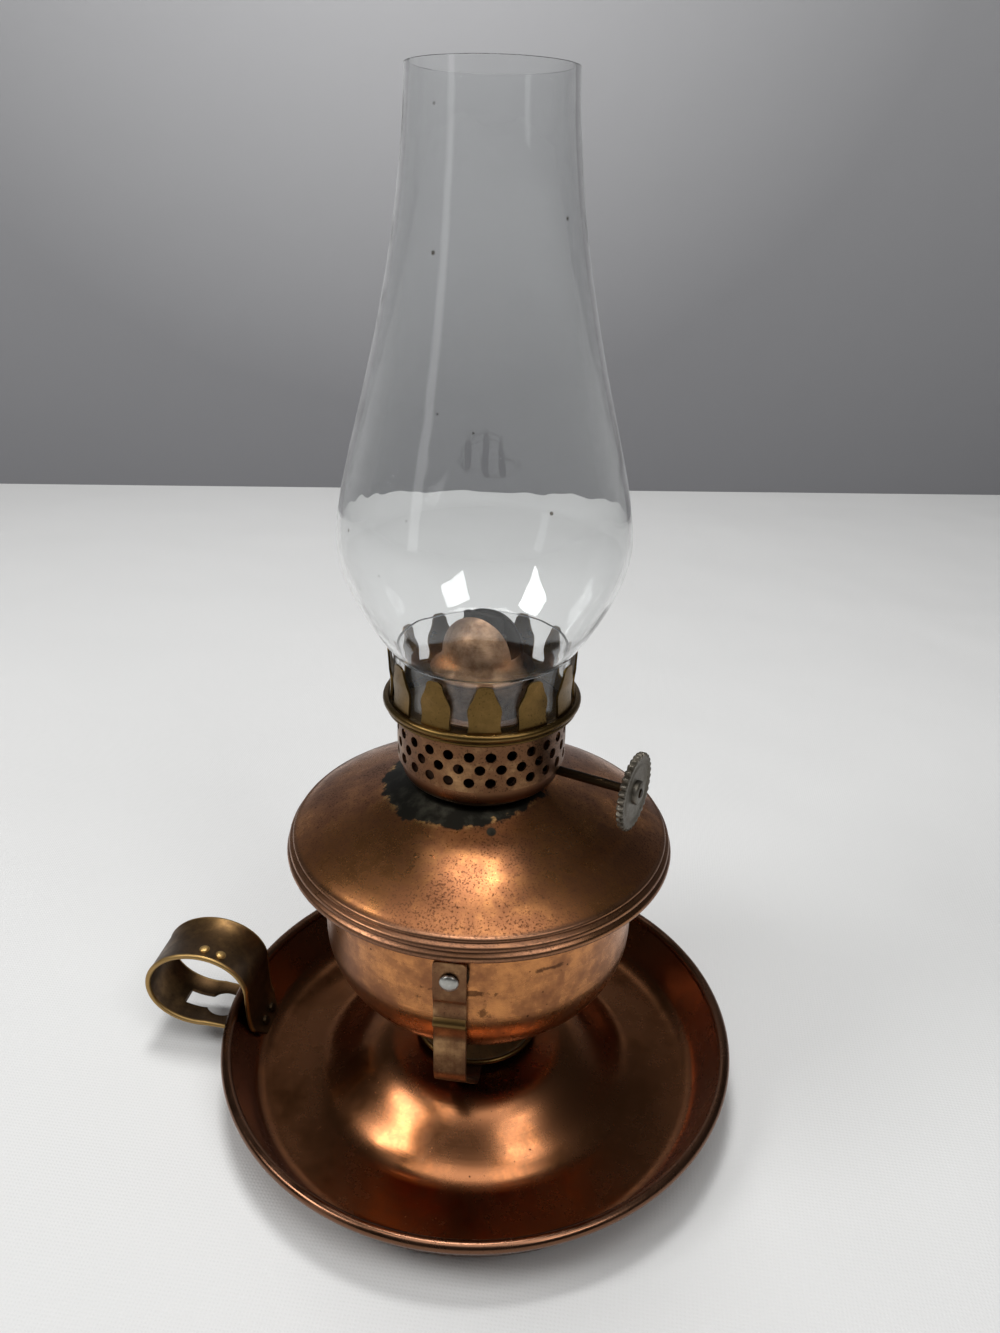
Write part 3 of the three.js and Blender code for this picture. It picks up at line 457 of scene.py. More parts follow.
def merge(name, pieces):
    """Several closed objects as one."""
    mesh = bmesh.new()
    for piece in pieces:
        mesh.from_mesh(piece.data)
        bpy.data.objects.remove(piece)
    return to_object(name, mesh)


MATERIAL_NAMES = {}


def dress(shown, finish):
    """Gives an object one of the lamp's finishes."""
    shown.data.materials.clear()
    shown.data.materials.append(bpy.data.materials[MATERIAL_NAMES[finish]])


def fit(piece, finish, body, slot, *nodes):
    """Gives a piece its finish, its body and the CAD nodes that it stands for."""
    dress(piece, finish)
    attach(piece, body)
    if nodes:
        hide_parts(*nodes)


def paint(finish, *nodes):
    """Gives CAD nodes that stay a finish."""
    for node in nodes:
        dress(frame["nodes"][node], finish)


# Materials

def solid(rgb):
    return (*rgb, 1)


def per(millimetres):
    """The texture scale whose pattern repeats at a real size."""
    return 1 / (millimetres * MM)


class Coat:
    """A material in the making: its node tree, and the place measured from the lamp's axis."""

    ring_drift = 1.2 * MM  # how far a ring's pattern moves in one radian

    def __init__(self, name):
        self.made = bpy.data.materials.new(name)
        self.made.use_nodes = True
        plain = self.add("ShaderNodeTexCoord", output="Object")
        self.centred = self.add(
            "ShaderNodeVectorMath", {0: plain, 1: (AXIS_X, 0, 0)}, operation="SUBTRACT")

    def connect(self, node, inputs):
        """Sets a node's inputs to values, or links them to other nodes' outputs."""
        for name, value in inputs.items():
            if isinstance(value, bpy.types.NodeSocket):
                self.made.node_tree.links.new(value, node.inputs[name])
            else:
                node.inputs[name].default_value = value

    def add(self, kind, inputs=None, output=0, **settings):
        """Adds a node with its settings and inputs, and gives one of its outputs."""
        node = self.made.node_tree.nodes.new(kind)
        for name, value in settings.items():
            setattr(node, name, value)
        self.connect(node, inputs or {})
        return node.outputs[output]

    def finish(self, inputs):
        """Sets or links the shader's inputs and gives the material."""
        self.connect(self.made.node_tree.nodes["Principled BSDF"], inputs)
        return self.made

    def reach(self, place=(0, 0, 0), stretch=(1, 1, 0)):
        """The distance from a place, in metres, with each axis stretched by a factor."""
        moved = self.add("ShaderNodeVectorMath", {0: self.centred, 1: place}, operation="SUBTRACT")
        flat = self.add("ShaderNodeVectorMath", {0: moved, 1: stretch}, operation="MULTIPLY")
        return self.add("ShaderNodeVectorMath", {0: flat}, "Value", operation="LENGTH")

    def rings(self):
        """Coordinates that stretch a pattern into rings, as a spinning lathe leaves them."""
        x, y, z = (self.add("ShaderNodeSeparateXYZ", {0: self.centred}, axis) for axis in "XYZ")
        turn = self.add("ShaderNodeMath", {0: y, 1: x}, operation="ARCTAN2")
        drift = self.add("ShaderNodeMath", {0: turn, 1: self.ring_drift}, operation="MULTIPLY")
        return self.add("ShaderNodeCombineXYZ", {"X": self.reach(), "Y": drift, "Z": z})


def worn_metal(
        name, clean, dull, dark, roughness, film, spots, lines, dents, grain="rings", stipple=0.0):
    """A coat of metal with a patchy film, dark spots, fine lines and shallow dents.

    film, spots and stipple are shares of the surface, lines and dents are heights in millimetres.
    The coat keeps its last colour and roughness, for what lies on top of them.
    """
    coat = Coat(name)
    add, centred = coat.add, coat.centred
    if grain == "along":
        drawn = add("ShaderNodeVectorMath", {0: centred, 1: (1, 1, 0.04)}, operation="MULTIPLY")
    else:
        drawn = coat.rings()
    # Real lathe lines and scratches are about 0.1 mm apart. They are drawn 0.8 mm apart, to show.
    clouds, patches, fine, waves = (
        add("ShaderNodeTexNoise", {
            "Vector": vector, "Scale": per(size), "Detail": detail, "Roughness": uneven})
        for vector, size, detail, uneven in (
            (centred, 17, 6, 0.62), (centred, 3.4, 5, 0.7), (drawn, 0.8, 4, 0.65),
            (centred, 24, 1, 0.5)))
    both = add("ShaderNodeMix", {0: 0.35, 2: clouds, 3: patches}, data_type="FLOAT")
    filmed = add(
        "ShaderNodeMapRange",
        {"Value": both, "From Min": 0.66 - 0.3 * film, "From Max": 0.4 - 0.3 * film},
        interpolation_type="SMOOTHSTEP")
    base = add("ShaderNodeMix", {0: filmed, 6: solid(dull), 7: solid(clean)}, 2, data_type="RGBA")
    streaked = add(
        "ShaderNodeMapRange", {"Value": fine, "From Min": 0.5, "From Max": 0.72, "To Max": 0.35})
    scratched = add("ShaderNodeMix", {0: streaked, 6: base, 7: solid(dull)}, 2, data_type="RGBA")
    cells = add("ShaderNodeTexVoronoi", {"Vector": centred, "Scale": per(2.3)})
    gather = add("ShaderNodeMath", {0: patches, 1: 0.62}, operation="MULTIPLY")
    speck = add("ShaderNodeMath", {0: cells, 1: gather}, operation="SUBTRACT")
    specks = add("ShaderNodeMapRange", {
        "Value": speck, "From Min": -0.32 + 0.16 * spots, "From Max": -0.38 + 0.16 * spots,
        "To Max": 0.85})
    if stipple:
        # Real grit is about 0.1 mm wide. It is drawn at 0.42 mm, to show.
        grit = add("ShaderNodeTexNoise", {
            "Vector": centred, "Scale": per(0.42), "Detail": 2, "Roughness": 0.55})
        thick = add("ShaderNodeMath", {0: clouds, 1: 0.6, 2: grit}, operation="MULTIPLY_ADD")
        dots = add("ShaderNodeMapRange", {
            "Value": thick, "From Min": 0.98 - 0.2 * stipple, "From Max": 1.1 - 0.2 * stipple,
            "To Max": 0.65})
        specks = add("ShaderNodeMath", {0: specks, 1: dots}, operation="MAXIMUM")
    coat.colour = add(
        "ShaderNodeMix", {0: specks, 6: scratched, 7: solid(dark)}, 2, data_type="RGBA")
    rough = add("ShaderNodeMapRange", {
        "Value": filmed, "To Min": roughness + 0.1, "To Max": roughness - 0.02})
    coat.rough = add("ShaderNodeMix", {0: specks, 2: rough, 3: 0.55}, data_type="FLOAT")
    dented = add("ShaderNodeBump", {"Height": waves, "Distance": dents * MM})
    lined = add("ShaderNodeBump", {"Height": fine, "Distance": lines * MM, "Normal": dented})
    coat.finish({
        "Metallic": 1, "Base Color": coat.colour, "Roughness": coat.rough, "Normal": lined})
    return coat


def make_materials(finish):
    """Every finish of the lamp, by a maker's name for it."""
    made = {
        # Spun and hand-polished copper: warm soft reflections broken by film, scratches and specks
        "polished copper": marked_copper(finish),
        # The same under a brown film: nearly black where the room is dark, gold in the lamps'
        # light, with painted shade up the saucer's wall
        "brown copper": browned_copper(finish),
        # The same, blackened round the burner by oil that has burnt on
        "stained copper": stained_copper(finish),
        # Rolled brass strip bent to the yoke: pinkish satin, scratched, with painted shade where it
        # is crimped
        "yoke brass": crimped_brass(finish),
        # The same strip where the hand holds it: dark brown, with painted highlights along its
        # rolled edges and on its two pips
        "handled brass": handled_brass(finish),
        # Brushed brass over the flame: pale and matt, then black with soot and painted shade on the
        # far leaf
        "sooted and shaded brass": sooted_and_shaded_brass(finish),
        # Plaited cotton: dull, ribbed, black at its burnt end
        "cotton": woven_cotton(finish),
        # Blown glass: clear, with wavy reflections and a faint grey film
        "glass": blown_glass(finish),
    }
    for name, title, clean, dull, dark, wear in (
            # Thin pierced brass, rubbed pinkish between its holes
            ("pierced brass", "Brass, pierced and rubbed bright",
             finish.brass_pink, finish.brass_brown, finish.brass_dark,
             dict(roughness=0.27, film=0.4, spots=0.45, lines=0.015, dents=0.15, stipple=0.5)),
            # Spun brass that heat has turned olive, with dark edges
            ("heated brass", "Brass, spun and heat coloured",
             finish.brass_olive, finish.brass_dull, finish.brass_dark,
             dict(roughness=0.24, film=0.4, spots=0.4, lines=0.02, dents=0.15, stipple=0.4)),
            # Spun brass that heat has turned reddish brown
            ("reddened brass", "Brass, spun and reddened by heat",
             finish.brass_red, finish.brass_brown, finish.copper_dark,
             dict(roughness=0.2, film=0.35, spots=0.35, lines=0.015, dents=0.12)),
            # Dark brass in the places that no cloth reaches, and as painted shade on the finger
            # ring's rivets
            ("dark brass", "Brass, darkened",
             finish.brass_dull, finish.brass_dark, finish.stain,
             dict(roughness=0.42, film=0.7, spots=0.5, lines=0.01, dents=0.05)),
            # Tinned steel, hammered over: a small bright button with a grey edge
            ("tinned steel", "Steel, tinned and hammered",
             finish.tin, finish.nickel, finish.brass_dark,
             dict(roughness=0.3, film=0.2, spots=0.3, lines=0.01, dents=0.12)),
            # Nickel plate worn dull and grey, with grime in the milled edge
            ("dull nickel", "Nickel plate, worn dull",
             finish.nickel, finish.nickel_dull, finish.brass_dark,
             dict(roughness=0.4, film=0.5, spots=0.6, lines=0.03, dents=0.1, stipple=0.5))):
        made[name] = worn_metal(title, clean, dull, dark, **wear).made
    return made


def marked_copper(finish):
    """Polished copper with dark ragged marks where the yoke rubs it."""
    coat = worn_metal(
        "Copper, spun and hand polished", finish.copper, finish.copper_dull, finish.copper_dark,
        roughness=0.23, film=0.2, spots=0.5, lines=0.03, dents=0.3)
    blurred = coat.add("ShaderNodeTexNoise", {
        "Vector": coat.centred, "Scale": per(1.8), "Detail": 5, "Roughness": 0.65})
    last = coat.colour
    for place, stretch, size in (
            ((11.5, -34, 51.6), (1, 1, 9), 7.6), ((16.5, -33, 47), (1.4, 1, 1), 2),
            ((3.5, -33, 49), (1.6, 1, 1.6), 2), ((29, -29, 55.5), (1, 1, 6), 3.6)):
        reach = coat.reach(Vector(place) * MM - Vector((AXIS_X, 0, 0)), stretch)
        ragged = coat.add(
            "ShaderNodeMath", {0: blurred, 1: 16 * MM, 2: reach}, operation="MULTIPLY_ADD")
        marked = coat.add("ShaderNodeMapRange", {
            "Value": ragged, "From Min": (size + 7.8) * MM, "From Max": (size + 6) * MM,
            "To Max": 0.75})
        last = coat.add(
            "ShaderNodeMix", {0: marked, 6: last, 7: solid(finish.copper_dark)}, 2,
            data_type="RGBA")
    return coat.finish({"Base Color": last})


def browned_copper(finish):
    """Brown copper, with painted shade up the saucer's wall, and greyed by handling on its rolled
    rim.
    """
    coat = worn_metal(
        "Copper, spun and left to brown",
        finish.copper_brown, finish.copper_dull, finish.copper_dark,
        roughness=0.18, film=0.3, spots=0.3, lines=0.012, dents=0.5)
    last = coat.colour
    # The first band is painted shade up the saucer's wall; the second greys the rolled rim, as
    # handling does.
    for start, full, most, tone in (
            (49, 53, 0.45, finish.copper_dark), (57.2, 58, 0.75, finish.rim_grey)):
        share = coat.add("ShaderNodeMapRange", {
            "Value": coat.reach(), "From Min": start * MM, "From Max": full * MM, "To Max": most})
        last = coat.add(
            "ShaderNodeMix", {0: share, 6: last, 7: solid(tone)}, 2, data_type="RGBA")
    return coat.finish({"Base Color": last})


def stained_copper(finish):
    """Polished copper with a greyed rim and a burnt oil stain that hugs the burner."""
    coat = worn_metal(
        "Copper, polished, stained by burnt oil",
        finish.copper, finish.copper_dull, finish.copper_dark,
        roughness=0.24, film=0.27, spots=0.5, lines=0.02, dents=0.3, stipple=0.6)
    blurred = coat.add("ShaderNodeTexNoise", {
        "Vector": coat.centred, "Scale": per(4), "Detail": 5, "Roughness": 0.6})
    ragged = coat.add(
        "ShaderNodeMath",
        {0: blurred, 1: 8 * MM, 2: coat.reach((-3.2 * MM, -1.2 * MM, 0))},
        operation="MULTIPLY_ADD")
    rim, blot, drop, edge, patchy, crusty = (
        coat.add("ShaderNodeMapRange", {
            "Value": value, "From Min": start, "From Max": full, "To Max": most})
        for value, start, full, most in (
            (coat.reach(), 39 * MM, 39.6 * MM, 0.62), (ragged, 21.7 * MM, 21.1 * MM, 1),
            (coat.reach((5 * MM, -18.6 * MM, 0)), 1.1 * MM, 0.8 * MM, 1),
            (ragged, 22.7 * MM, 21.9 * MM, 1), (blurred, 0.52, 0.6, 0.8), (blurred, 0.45, 0.62, 1)))
    stained = coat.add("ShaderNodeMath", {0: blot, 1: drop}, operation="MAXIMUM")
    flecks = coat.add("ShaderNodeMath", {0: edge, 1: patchy}, operation="MULTIPLY")
    crust = coat.add(
        "ShaderNodeMix", {0: crusty, 6: solid(finish.stain), 7: solid(finish.stain_grey)}, 2,
        data_type="RGBA")
    last = coat.colour
    for share, tone in (
            (rim, solid(finish.copper_grey)), (flecks, solid(finish.copper_fresh)),
            (stained, crust)):
        last = coat.add("ShaderNodeMix", {0: share, 6: last, 7: tone}, 2, data_type="RGBA")
    rough = coat.add("ShaderNodeMix", {0: stained, 2: coat.rough, 3: 0.5}, data_type="FLOAT")
    return coat.finish({"Base Color": last, "Roughness": rough})


def crimped_brass(finish):
    """Pinkish brass strip with a dark olive band of painted shade where each arm is crimped."""
    coat = worn_metal(
        "Brass, rolled strip, crimped", finish.brass_pink, finish.brass_brown, finish.brass_dark,
        roughness=0.3, film=0.35, spots=0.4, lines=0.02, dents=0.15, grain="along", stipple=0.3)
    height = coat.add("ShaderNodeSeparateXYZ", {0: coat.centred}, "Z")
    crimp = bpy.context.scene.lamp_stand.crimp_height
    off = coat.add("ShaderNodeMath", {0: height, 1: crimp}, operation="SUBTRACT")
    away = coat.add("ShaderNodeMath", {0: off}, operation="ABSOLUTE")
    # The band is painted shade in the crimp, drawn in the colour of dull brass.
    band = coat.add("ShaderNodeMapRange", {
        "Value": away, "From Min": 1.7 * MM, "From Max": 1.2 * MM, "To Max": 0.85})
    last = coat.add(
        "ShaderNodeMix", {0: band, 6: coat.colour, 7: solid(finish.brass_dull)}, 2,
        data_type="RGBA")
    return coat.finish({"Base Color": last})


def handled_brass(finish):
    """Dark brown strip, with painted highlights along both rolled edges and on the two pips."""
    coat = worn_metal(
        "Brass, rolled strip, browned by handling",
        finish.strip, finish.strip_dark, finish.brass_dark,
        roughness=0.36, film=0.45, spots=0.45, lines=0.02, dents=0.15, grain="along", stipple=0.4)
    side = coat.add("ShaderNodeSeparateXYZ", {0: coat.centred}, "Y")
    # Painted highlights: the rolled edges and the two pips are mixed towards pale brass.
    bright = [(coat.add("ShaderNodeMath", {0: side}, operation="ABSOLUTE"), 6.55, 6.95, 0.6)]
    stand = bpy.context.scene.lamp_stand
    for turn, across in LAMP_OT_finger_ring.pips:
        spot, _ = LAMP_OT_finger_ring.pip_place(stand, math.radians(turn), across * MM)
        bright.append((coat.reach(spot - Vector((AXIS_X, 0, 0)), (1, 1, 1)), 1.3, 1.1, 1))
    last = coat.colour
    for away, start, full, most in bright:
        share = coat.add("ShaderNodeMapRange", {
            "Value": away, "From Min": start * MM, "From Max": full * MM, "To Max": most})
        last = coat.add(
            "ShaderNodeMix", {0: share, 6: last, 7: solid(finish.brass)}, 2, data_type="RGBA")
    return coat.finish({"Base Color": last})


def sooted_and_shaded_brass(finish):
    """Brushed brass on the near leaf, soot and painted shade on the far leaf and at the slot."""
    coat = worn_metal(
        "Brass, brushed, with soot and painted shade", finish.brass_worn, finish.brass_brown, finish.brass_dark,
        roughness=0.52, film=0.1, spots=0.1, lines=0.04, dents=0.04)
    # The far leaf is darkened as soot and as painted shade, by its side of the slot.
    across = Vector((-math.sin(BURNER_TURN), math.cos(BURNER_TURN), 0))
    side = coat.add(
        "ShaderNodeVectorMath", {0: coat.centred, 1: across}, "Value", operation="DOT_PRODUCT")
    cloud = coat.add(
        "ShaderNodeTexNoise", {"Vector": coat.centred, "Scale": per(3), "Detail": 4})
    pushed = coat.add(
        "ShaderNodeMath", {0: cloud, 1: 2.4 * MM, 2: side}, operation="MULTIPLY_ADD")
    soot_and_shade = coat.add("ShaderNodeMapRange", {
        "Value": pushed, "From Min": -0.4 * MM, "From Max": 2.2 * MM, "To Max": 0.97})
    last = coat.add(
        "ShaderNodeMix", {0: soot_and_shade, 6: coat.colour, 7: solid(finish.char)}, 2, data_type="RGBA")
    rough = coat.add("ShaderNodeMix", {0: soot_and_shade, 2: coat.rough, 3: 0.75}, data_type="FLOAT")
    return coat.finish({"Base Color": last, "Roughness": rough})


def woven_cotton(finish):
    """Plaited cotton: pale ribs below, burnt black at the tip."""
    coat = Coat("Cotton, plaited and burnt")
    ribs = coat.add(
        "ShaderNodeTexWave", {"Vector": coat.centred, "Scale": per(6), "Distortion": 1.5}, 1,
        bands_direction="Z")
    # Real cotton fibres are far finer. They are drawn 0.6 mm apart, to show.
    fibres = coat.add(
        "ShaderNodeTexNoise", {"Vector": coat.centred, "Scale": per(0.6), "Detail": 3})
    height = coat.add("ShaderNodeSeparateXYZ", {0: coat.centred}, "Z")
    wavy = coat.add("ShaderNodeMath", {0: fibres, 1: 3 * MM, 2: height}, operation="MULTIPLY_ADD")
    burnt = coat.add("ShaderNodeMapRange", {
        "Value": wavy, "From Min": top("wick") - 8 * MM, "From Max": top("wick") - 3 * MM})
    thread = coat.add(
        "ShaderNodeMix", {0: ribs, 6: solid(finish.brass_dull), 7: solid(finish.cotton)}, 2,
        data_type="RGBA")
    last = coat.add(
        "ShaderNodeMix", {0: burnt, 6: thread, 7: solid(finish.char)}, 2, data_type="RGBA")
    bump = coat.add("ShaderNodeBump", {"Height": fibres, "Distance": 0.3 * MM})
    return coat.finish({"Base Color": last, "Roughness": 0.95, "Normal": bump})


def blown_glass(finish):
    """Mould-blown soda glass: clear, faintly wavy, with a few specks and a dusty film."""
    coat = Coat("Soda glass, mould blown")
    waves = coat.add(
        "ShaderNodeTexNoise", {"Vector": coat.centred, "Scale": per(16), "Detail": 2})
    bump = coat.add("ShaderNodeBump", {"Height": waves, "Distance": 0.2 * MM})
    cells = coat.add("ShaderNodeTexVoronoi", {"Vector": coat.centred, "Scale": per(13)})
    specks = coat.add(
        "ShaderNodeMapRange", {"Value": cells, "From Min": 0.034, "From Max": 0.02})
    tint = coat.add(
        "ShaderNodeMix", {0: specks, 6: solid(finish.glass), 7: solid(finish.glass_speck)}, 2,
        data_type="RGBA")
    return coat.finish({
        "Base Color": tint, "Normal": bump, "Roughness": 0, "IOR": 1.5,
        "Transmission Weight": 1, "Sheen Weight": 0.25, "Sheen Roughness": 0.4})


# Operators

class LAMP_OT_finishes(Operator):
    """Make the lamp's materials"""

    bl_idname = "oil_lamp.finishes"
    bl_label = "Finishes"

    def execute(self, context):
        finish = context.scene.lamp_finish
        for name, made in make_materials(finish).items():
            MATERIAL_NAMES[name] = made.name
        return {"FINISHED"}


class LAMP_OT_saucer(Operator):
    """Build the spun saucer with its rolled rim"""

    bl_idname = "oil_lamp.saucer"
    bl_label = "Saucer"

    boss_steps = 28

    def execute(self, context):
        stand = context.scene.lamp_stand
        radius, height = half_depth("saucer"), top("saucer")
        bead = Vector((radius - stand.bead, height - stand.bead))
        foot = Vector((stand.wall_foot, 0))
        meet = Vector((bead.x + stand.sheet, bead.y))
        slope = meet - foot
        lean = math.degrees(math.atan2(slope.y, slope.x))
        under = stand.boss_height - stand.sheet
        run, steps = stand.floor_start - stand.boss_radius, self.boss_steps
        rise = [
            (stand.boss_radius + run * i / steps, under * (1 + math.cos(math.pi * i / steps)) / 2)
            for i in range(steps + 1)]
        corner = rounded([rise[-1], tuple(foot), tuple(meet)], stand.wall_fillet, 10)
        path = [(0, under), *rise, *corner[1:-1]]
        inside = beside(path, stand.sheet)
        inside[0] = (0, stand.boss_height)
        inner_meet = lean + 180 - math.degrees(math.asin(stand.sheet / stand.bead))
        rim = arc(bead, stand.bead, inner_meet, lean - 180, 26)
        outline = [*inside, *rim, *reversed(path)]
        fit(revolve("saucer_skin", outline, 180), "brown copper",
            "stand", "tarnished_copper", "saucer")
        return {"FINISHED"}


def wall_line(stand):
    """The saucer's outer wall: the radius at a height, and the sine of its lean."""
    rise = (half_depth("saucer") - 2 * stand.bead + stand.sheet - stand.wall_foot) / (
        top("saucer") - 2 * stand.bead)
    return (lambda z: stand.wall_foot + z * rise), math.sin(math.atan2(1, rise))


class LAMP_OT_finger_ring(Operator):
    """Build the finger ring with its rolled edges and keyhole"""

    bl_idname = "oil_lamp.finger_ring"
    bl_label = "Finger ring"

    edge_reach = 0.7 * MM  # from the strip's middle to the solid's outer edge
    leg_foot = 3.4 * MM
    leg_taper = 7 * MM  # both ends narrow below this height
    leg_bend = 8.4 * MM
    leg_inset = 1.95 * MM  # from the wall's outer face in to the inner leg's middle line
    tab_inset = 0.75 * MM  # and out to the outer leg's
    tab_top = 6.4 * MM
    tab_foot = 1.4 * MM
    loop_steps = 72
    keyhole_span = (3 * MM, 12 * MM)
    pip_radius = 1.15 * MM
    pip_rise = 0.4 * MM
    pips = ((103, -4.25), (122.5, -4.5))  # degrees round the loop, and mm across the strip

    @classmethod
    def loop_point(cls, stand, turn):
        """A point of the strip's middle line on the oval, a turn away from its far end."""
        low, _ = (Vector(c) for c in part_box("finger_ring"))
        tilt = stand.ring_tilt
        centre = AXIS_X - low.x - cls.edge_reach - math.hypot(
            stand.ring_radius * math.cos(tilt), stand.ring_rise * math.sin(tilt))
        u, v = stand.ring_radius * math.cos(turn), stand.ring_rise * math.sin(turn)
        return (centre + u * math.cos(tilt) - v * math.sin(tilt),
                stand.ring_height + u * math.sin(tilt) + v * math.cos(tilt))

    def path(self, stand):
        radius_at, sine = wall_line(stand)
        steps = self.loop_steps
        loop = [self.loop_point(stand, math.pi * (1 - 1.5 * i / steps)) for i in range(steps + 1)]
        leg = through([
            (radius_at(self.leg_foot) - self.leg_inset / sine, self.leg_foot),
            (radius_at(self.leg_bend) - self.leg_inset / sine, self.leg_bend), loop[0]], 10)
        tab = rounded([
            loop[-1], (radius_at(self.tab_top) + self.tab_inset / sine, self.tab_top),
            (radius_at(self.tab_foot) + self.tab_inset / sine, self.tab_foot)], 2 * MM)
        return [*leg[:-1], *loop, *tab[1:]], len(leg) - 1, len(leg) + len(loop) - 1

    def execute(self, context):
        stand = context.scene.lamp_stand
        path, loop_start, loop_end = self.path(stand)
        half_sheet = stand.ring_sheet / 2

        def profile(i):
            """Full width and beaded edges round the loop, narrowing towards both ends."""
            looped = loop_start <= i < loop_end
            rise = (path[i][1] - self.leg_foot) / (self.leg_taper - self.leg_foot)
            share = 1 if looped else min(max(rise, 0), 1)
            half = (stand.ring_end + (stand.ring_width - stand.ring_end) * share) / 2
            edge = stand.ring_edge if looped else half_sheet * 1.02
            meet = math.degrees(math.asin(half_sheet / edge))
            return [*arc((half - edge, 0), edge, meet - 180, 180 - meet, 12),
                    *arc((edge - half, 0), edge, meet, 360 - meet, 12)]

        ring = carry("finger_ring_strip", path, profile,
                     lambda p, across: Vector((AXIS_X - p.x, across, p.y)))
        corner = math.degrees(math.asin(stand.slot_width / 2 / stand.keyhole_radius))
        keyhole = [
            *arc((-stand.keyhole_reach, 0), stand.keyhole_radius, corner - 180, 180 - corner, 32),
            (-stand.slot_reach, stand.slot_width / 2), (-stand.slot_reach, -stand.slot_width / 2)]
        ring = cut(ring, slab("keyhole_cutter", keyhole, *self.keyhole_span))
        pips = [self.pip(stand, turn, across) for turn, across in self.pips]
        fit(merge("finger_ring_strip", [ring, *pips]), "handled brass",
            "stand", "aged_brass", "finger_ring")
        # The ring's rivets are painted dark brass, as painted shade that hides them in the leg's
        # shadow.
        paint("dark brass", "handle_rivet_near", "handle_rivet_far")
        return {"FINISHED"}

    @classmethod
    def pip_place(cls, stand, turn, across):
        """Where a pip sits on the outside of the loop, and the way it faces."""
        here, ahead = (Vector(cls.loop_point(stand, turn + step)) for step in (0, 0.01))
        out = Vector((ahead.y - here.y, here.x - ahead.x)).normalized()
        at = here + out * (stand.ring_sheet / 2)
        return Vector((AXIS_X - at.x, across, at.y)), Vector((-out.x, 0, out.y))

    def pip(self, stand, turn, across):
        """A small raised dot on the outside of the loop."""
        radius, rise = self.pip_radius, self.pip_rise
        dome = [(0, -rise), *bezier(
            [(radius, -rise), (radius, rise * 0.6), (radius * 0.7, rise), (0, rise)], 8)]
        place = self.pip_place(stand, math.radians(turn), across * MM)
        return revolve("pip", dome, 24, turned_to(*place))


class LAMP_OT_yoke(Operator):
    """Build the bent yoke and its foot plate, and finish its rivet"""

    bl_idname = "oil_lamp.yoke"
    bl_label = "Yoke"

    corner_radius = 1.1 * MM
    edge_radius = 0.16 * MM
    crimp_half = 1.2 * MM
    crimp_flat = 0.4 * MM
    crease_half = 0.6 * MM
    plate_sheet = 0.6 * MM
    plate_bead = 0.6 * MM

    def execute(self, context):
        stand = context.scene.lamp_stand
        sheet, arm = stand.yoke_sheet, stand.arm_reach
        base, end = bottom("yoke") + sheet / 2, top("yoke")
        tab, ridge = arm + stand.crease_step, arm + stand.crimp_rise
        crimp_z, crease_z, corner = stand.crimp_height, stand.crease_height, self.corner_radius
        bent = rounded([
            (0, base), (stand.yoke_foot, base), (arm, stand.arm_foot),
            (arm, crimp_z - 4 * self.crimp_half)], stand.arm_bend, 10)
        crimp = through([
            (arm, crimp_z - self.crimp_half), (ridge, crimp_z - self.crimp_flat),
            (ridge, crimp_z + self.crimp_flat), (arm, crimp_z + self.crimp_half)], 4)
        crease = through([
            (arm, crease_z - self.crease_half), (tab, crease_z + self.crease_half)], 5)
        tip = [(tab, end - corner * (1 - math.sin(math.radians(a)))) for a in range(0, 91, 10)]
        side = [*bent, *crimp, *crease, (tab, (crease_z + end) / 2), *tip]
        path = [*((-y, z) for y, z in reversed(side[1:])), *side]
        half, edge = stand.yoke_width / 2, self.edge_radius

        def profile(i):
            """A strip's section with its edges broken, drawn in at the arms' round corners."""
            into = max(corner - (end - path[i][1]), 0)
            trim = corner - math.sqrt(max(corner ** 2 - into ** 2, 0))
            x, y = half - trim - edge, sheet / 2 - edge
            corners = (((x, y), 90), ((x, -y), 0), ((-x, -y), -90), ((-x, y), 180))
            return [point for at, start in corners for point in arc(at, edge, start, start - 90, 3)]

        yoke = carry("yoke_strip", path, profile,
                     lambda p, across: Vector((AXIS_X + across, p.x, p.y)), sharp=50)
        fit(yoke, "yoke brass", "stand", "aged_brass", "yoke")

        low, high = bottom("yoke_plate"), top("yoke_plate")
        radius = half_depth("yoke_plate")
        bead = self.plate_bead
        plate = [
            (0, low), (radius - bead, low), *arc((radius - bead, low + bead), bead, -90, 160, 14),
            (radius - 3 * bead, low + self.plate_sheet), (0, low + self.plate_sheet)]
        fit(revolve("yoke_plate_disc", plate, 96), "heated brass",
            "stand", "dark_brass", "yoke_plate")
        paint("dark brass", "yoke_rivet")
        return {"FINISHED"}


